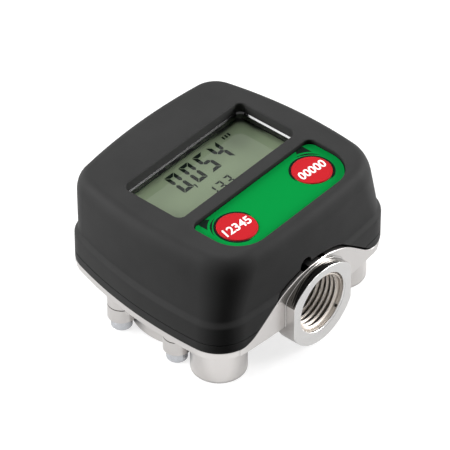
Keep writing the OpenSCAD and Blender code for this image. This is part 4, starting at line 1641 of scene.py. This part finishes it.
@dataclass
class CapScrews:
    """Hexagon-socket cap screws with knurled heads."""

    head_r: float = 3.5
    head_h: float = 4.0
    chamfer: float = 0.4
    knurl_d: float = 0.13
    knurls: int = 36
    knurl_steps: int = 4
    knurl_start: float = 1.3
    corner: tuple[Flat, ...] = ((0.35, 0.3), (0.0, 0.9))
    plain: float = 0.5
    socket_w: float = 3.0
    socket_d: float = 2.0
    shank_r: float = 2.0
    pitch: float = 0.7
    ridge_d: float = 0.4
    crest: float = 0.1
    thread_steps: int = 24
    socket_edge: float = 0.12
    socket_flare: float = 0.62

    def ring(self, r: float, z: float, knurl: float = 0.0) -> list[Point]:
        """Give a ring of the screw.

        Args:
            r: Its radius.
            z: Its height.
            knurl: Depth of the knurl's notches.

        Returns:
            Its points.
        """
        steps = self.knurls * self.knurl_steps
        radii = [r - knurl * (1 + math.cos(TURN * i / self.knurl_steps)) / 2 for i in range(steps)]
        turns = [TURN * i / steps for i in range(steps)]
        return [(q * math.cos(t), q * math.sin(t), z) for q, t in zip(radii, turns)]

    def hexagon(self, z: float) -> list[Point]:
        """Give a ring along the socket's hexagon.

        Args:
            z: Its height.

        Returns:
            Its points, as many as in the screw's other rings.
        """
        steps = self.knurls * self.knurl_steps
        ring = []
        for i in range(steps):
            turn = TURN * i / steps
            r = self.socket_w / 2 / math.cos((turn + math.pi / 6) % (math.pi / 3) - math.pi / 6)
            ring.append((r * math.cos(turn), r * math.sin(turn), z))
        return ring

    def screw(self, length: float, threads: ThreadMaker) -> Mesh:
        """Make one screw about the Z axis, its head's face at Z = 0 and its shank upwards.

        Args:
            length: Length of the shank.
            threads: What makes the ridge.

        Returns:
            The screw.
        """
        c, core = self.chamfer, self.shank_r - self.ridge_d
        end = self.head_h + length
        rings = [
            self.hexagon(self.socket_d),
            self.hexagon(self.socket_edge),
            self.ring(self.socket_w * self.socket_flare, 0),
            self.ring(self.head_r - c, 0),
            *(self.ring(self.head_r - c * back, c * up) for back, up in self.corner),
            self.ring(self.head_r, c * self.knurl_start, self.knurl_d),
            self.ring(self.head_r, self.head_h - c, self.knurl_d),
            self.ring(self.head_r, self.head_h - c / 2),
            self.ring(self.head_r - c / 2, self.head_h),
            self.ring(core, self.head_h),
            self.ring(core, end - c),
            self.ring(core - c, end),
        ]
        solid = make_mesh("screw", *loft(rings))
        turns = (length - 2 * self.plain) / self.pitch
        middle_r = core + self.ridge_d / 2
        ridge = threads.make(
            middle_r, self.pitch, turns, self.ridge_d, self.crest, self.thread_steps, ZINC_STEEL
        )
        ridge.transform(Matrix.Translation((0, 0, (self.head_h + self.plain) * MM)))
        return joined([solid, ridge])

    def build(self, threads: ThreadMaker, copies: CopyMaker) -> None:
        """Set the screws of each CAD node where the frame has them.

        Args:
            threads: What makes the ridges.
            copies: What sets the screws.
        """
        for node in ("chamber_screws", "long_case_screws", "short_case_screws"):
            places = screw_places(node)
            low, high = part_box(node)
            length = (high[2] - low[2]) / MM - self.head_h
            mesh = copies.make(self.screw(length, threads), places, ZINC_STEEL)
            add_piece(f"{node}_knurled", mesh, [ZINC_STEEL], Body.METER, [node])


def screw_places(node: str) -> list[Point]:
    """Find the screws of a CAD node, each a group of joined corners.

    Args:
        node: Name of the node.

    Returns:
        The middle of each screw at the low end of its head, in order.
    """
    mesh = NODES[node].data
    work = bmesh.new()
    work.from_mesh(mesh)
    bmesh.ops.remove_doubles(work, verts=work.verts, dist=MM * MM)
    left = set(work.verts)
    places = []
    while left:
        group, edge = set(), [left.pop()]
        while edge:
            vertex = edge.pop()
            group.add(vertex)
            near = {other for link in vertex.link_edges for other in link.verts} & left
            left -= near
            edge += near
        spans = [[v.co[k] / MM for v in group] for k in range(3)]
        x, y = ((min(span) + max(span)) / 2 for span in spans[:2])
        places.append((x, y, min(spans[2])))
    work.free()
    return sorted(places)


@dataclass
class Case:
    """The glossy cover of the electronics case, whose rim shows in the display window."""

    edge: float = 0.22
    bead_top: float = 46.53
    bead_w: float = 0.4
    bead_h: float = 0.93
    bead_slope: float = 0.53

    def build(self, display: Display) -> None:
        """Make the cover with rounded edges, and the chamfered bead round its window.

        Args:
            display: The window.
        """
        section = (
            (0.0, self.bead_top),
            (-self.bead_w, self.bead_top - self.bead_slope),
            (0.0, self.bead_top - self.bead_h),
        )
        rings = [[(x, y, z) for x, y in display.window(grow)] for grow, z in section]
        bead = make_mesh("bead", *loft(rings, closed=True), crease=20)
        add_piece("cover_bead", bead, [GLOSS_ABS], Body.METER)
        cover = softened(NODES["case_cover"], self.edge, clamp=True)
        add_piece("gloss_cover", cover, [GLOSS_ABS], Body.METER, ["case_cover"])


@dataclass(frozen=True)
class Lamp:
    """A soft square lamp: its place, the width of its panel and its power in watts."""

    name: str
    place: Point
    size: float
    power: float


@dataclass
class Studio:
    """Camera, floor, lamps and surroundings."""

    lens: float = 352.0
    sensor: float = 36.0
    sight: float = 20.0
    eye: Point = (-812.0, -701.3, 941.7)
    away: Point = (-0.5760, -0.4965, 0.6495)
    right: Point = (0.6529, -0.7575, 0.0)
    floor_size: float = 4000.0
    room_top: float = 0.05
    floor_glow: float = 0.75
    mirrored_glow: float = 0.42
    aim: Point = (0, 0, 25)
    lamps: tuple[Lamp, ...] = (
        Lamp("overhead_lamp", (110, 120, 1000), 600, 5.0),
        Lamp("left_lamp", (-775, 850, 470), 680, 25.0),
        Lamp("right_lamp", (970, -690, 420), 560, 25.0),
    )

    def camera(self) -> None:
        """Set the camera at the photograph's viewing angle."""
        lens = bpy.data.cameras.new("camera")
        lens.lens = self.lens
        lens.sensor_width = self.sensor
        lens.clip_end = self.sight
        camera = link_object("camera", lens)
        away, right = Vector(self.away).normalized(), Vector(self.right).normalized()
        up = away.cross(right)
        turn = Matrix((right, up, away)).transposed().to_4x4()
        camera.matrix_world = Matrix.Translation(Vector(self.eye) * MM) @ turn
        bpy.context.scene.camera = camera

    def hang(self, lamp: Lamp) -> None:
        """Hang a lamp and aim it at the meter.

        Args:
            lamp: The lamp.
        """
        light = bpy.data.lights.new(lamp.name, "AREA")
        light.size = lamp.size * MM
        light.energy = lamp.power
        piece = link_object(lamp.name, light)
        piece.location = Vector(lamp.place) * MM
        away = Vector(self.aim) - Vector(lamp.place)
        piece.rotation_euler = away.to_track_quat("-Z", "Y").to_euler()

    def rays(self, tree: Tree) -> tuple[Socket, Socket]:
        """Tell the rays apart.

        Args:
            tree: The tree of the room or the floor.

        Returns:
            1 for rays from the camera or through glass, and 1 for mirrored rays.
        """
        path = add_node(tree, "ShaderNodeLightPath").outputs
        inputs = {0: path["Is Camera Ray"], 1: path["Is Transmission Ray"]}
        straight = add_node(tree, "ShaderNodeMath", inputs, operation="MAXIMUM")
        return straight.outputs[0], path["Is Glossy Ray"]

    def glowing(self, tree: Tree, colour: str, glow: float) -> Node:
        """Give a dull surface that glows.

        Args:
            tree: The floor's tree.
            colour: Six hex digits.
            glow: Strength of the glow.

        Returns:
            The last node.
        """
        plain = add_node(tree, "ShaderNodeBsdfDiffuse", {"Color": linear(colour)})
        light = add_node(tree, "ShaderNodeEmission", {"Strength": glow})
        return add_node(tree, "ShaderNodeAddShader", {0: plain.outputs[0], 1: light.outputs[0]})

    def surroundings(self) -> None:
        """Light the object from a pale room, brighter above than at the horizon."""
        world = bpy.data.worlds.new("studio")
        bpy.context.scene.world = world
        world.use_nodes = True
        tree = world.node_tree
        tree.nodes.clear()
        way = add_node(tree, "ShaderNodeTexCoord").outputs["Generated"]
        up = add_node(tree, "ShaderNodeSeparateXYZ", {"Vector": way}).outputs["Z"]
        level = add_node(tree, "ShaderNodeMapRange", {"Value": up, "To Max": self.room_top})
        shade = linear("FFFFFF")
        inputs = {"Color": shade, "Strength": level.outputs["Result"]}
        room = add_node(tree, "ShaderNodeBackground", inputs)
        white = add_node(tree, "ShaderNodeBackground", {"Color": shade, "Strength": 1.0})
        straight, mirrored = self.rays(tree)
        inputs = {0: straight, 1: mirrored}
        seen = add_node(tree, "ShaderNodeMath", inputs, operation="MAXIMUM")
        inputs = {0: seen.outputs[0], 1: room.outputs[0], 2: white.outputs[0]}
        mix = add_node(tree, "ShaderNodeMixShader", inputs)
        add_node(tree, "ShaderNodeOutputWorld", {"Surface": mix.outputs[0]})

    def floor(self) -> None:
        """Lay a plain pale floor that keeps the object's shadow."""
        half = self.floor_size / 2
        corners = [(-half, -half, 0), (half, -half, 0), (half, half, 0), (-half, half, 0)]
        mesh = bpy.data.meshes.new("floor")
        mesh.from_pydata([Vector(p) * MM for p in corners], [], [[0, 1, 2, 3]])
        floor = link_object("floor", mesh)
        material = bpy.data.materials.new("pale_floor")
        material.use_nodes = True
        tree = material.node_tree
        tree.nodes.remove(tree.nodes["Principled BSDF"])
        straight, mirrored = self.rays(tree)
        dark = self.glowing(tree, "181818", 0.0)
        dull = self.glowing(tree, "CCCCCC", self.mirrored_glow)
        bright = self.glowing(tree, "9F9F9F", self.floor_glow)
        inputs = {0: mirrored, 1: dark.outputs[0], 2: dull.outputs[0]}
        lit = add_node(tree, "ShaderNodeMixShader", inputs)
        inputs = {0: straight, 1: lit.outputs[0], 2: bright.outputs[0]}
        mix = add_node(tree, "ShaderNodeMixShader", inputs)
        tree.links.new(mix.outputs[0], tree.nodes["Material Output"].inputs["Surface"])
        mesh.materials.append(material)

    def build(self) -> None:
        """Set up the whole studio."""
        self.camera()
        self.surroundings()
        self.floor()
        for lamp in self.lamps:
            self.hang(lamp)


@dataclass
class Seals:
    """The soft parts inside: the chamber's seal, the case's gasket and the display's contact strips."""

    edge: float = 0.15

    def build(self) -> None:
        """Make each with the rounded edges of moulded or cut rubber."""
        for name, finish, slot in (
            ("chamber_seal", SEAL_RUBBER, "seal_rubber"),
            ("case_gasket", GASKET_RUBBER, "gasket_rubber"),
            ("display_contacts", CONTACT_RUBBER, "contact_rubber"),
        ):
            mesh = softened(NODES[name], self.edge, clamp=True)
            add_piece(f"{name}_soft", mesh, [finish], Body.METER, [name])


def dress_kept_nodes() -> None:
    """Give each CAD node that stays its finish."""
    for name, finish in KEPT_NODES.items():
        node = NODES[name]
        for slot in node.material_slots:
            slot.material = finish.material()
        LOG.info("%s: kept, %s", name, finish.name)


def main() -> None:
    """Build every piece."""
    scene = bpy.context.scene
    scene.view_settings.view_transform = "Standard"
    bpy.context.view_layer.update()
    threads, copies = ThreadMaker(), CopyMaker()
    dress_kept_nodes()
    display = Display()
    Casting().build(threads)
    CapScrews().build(threads, copies)
    Case().build(display)
    Seals().build()
    Boot().build(Arch(), display)
    display.build()
    Studio().build()


if __name__ == "__main__":
    logging.basicConfig(level=logging.INFO, format="%(name)s: %(message)s")
    main()
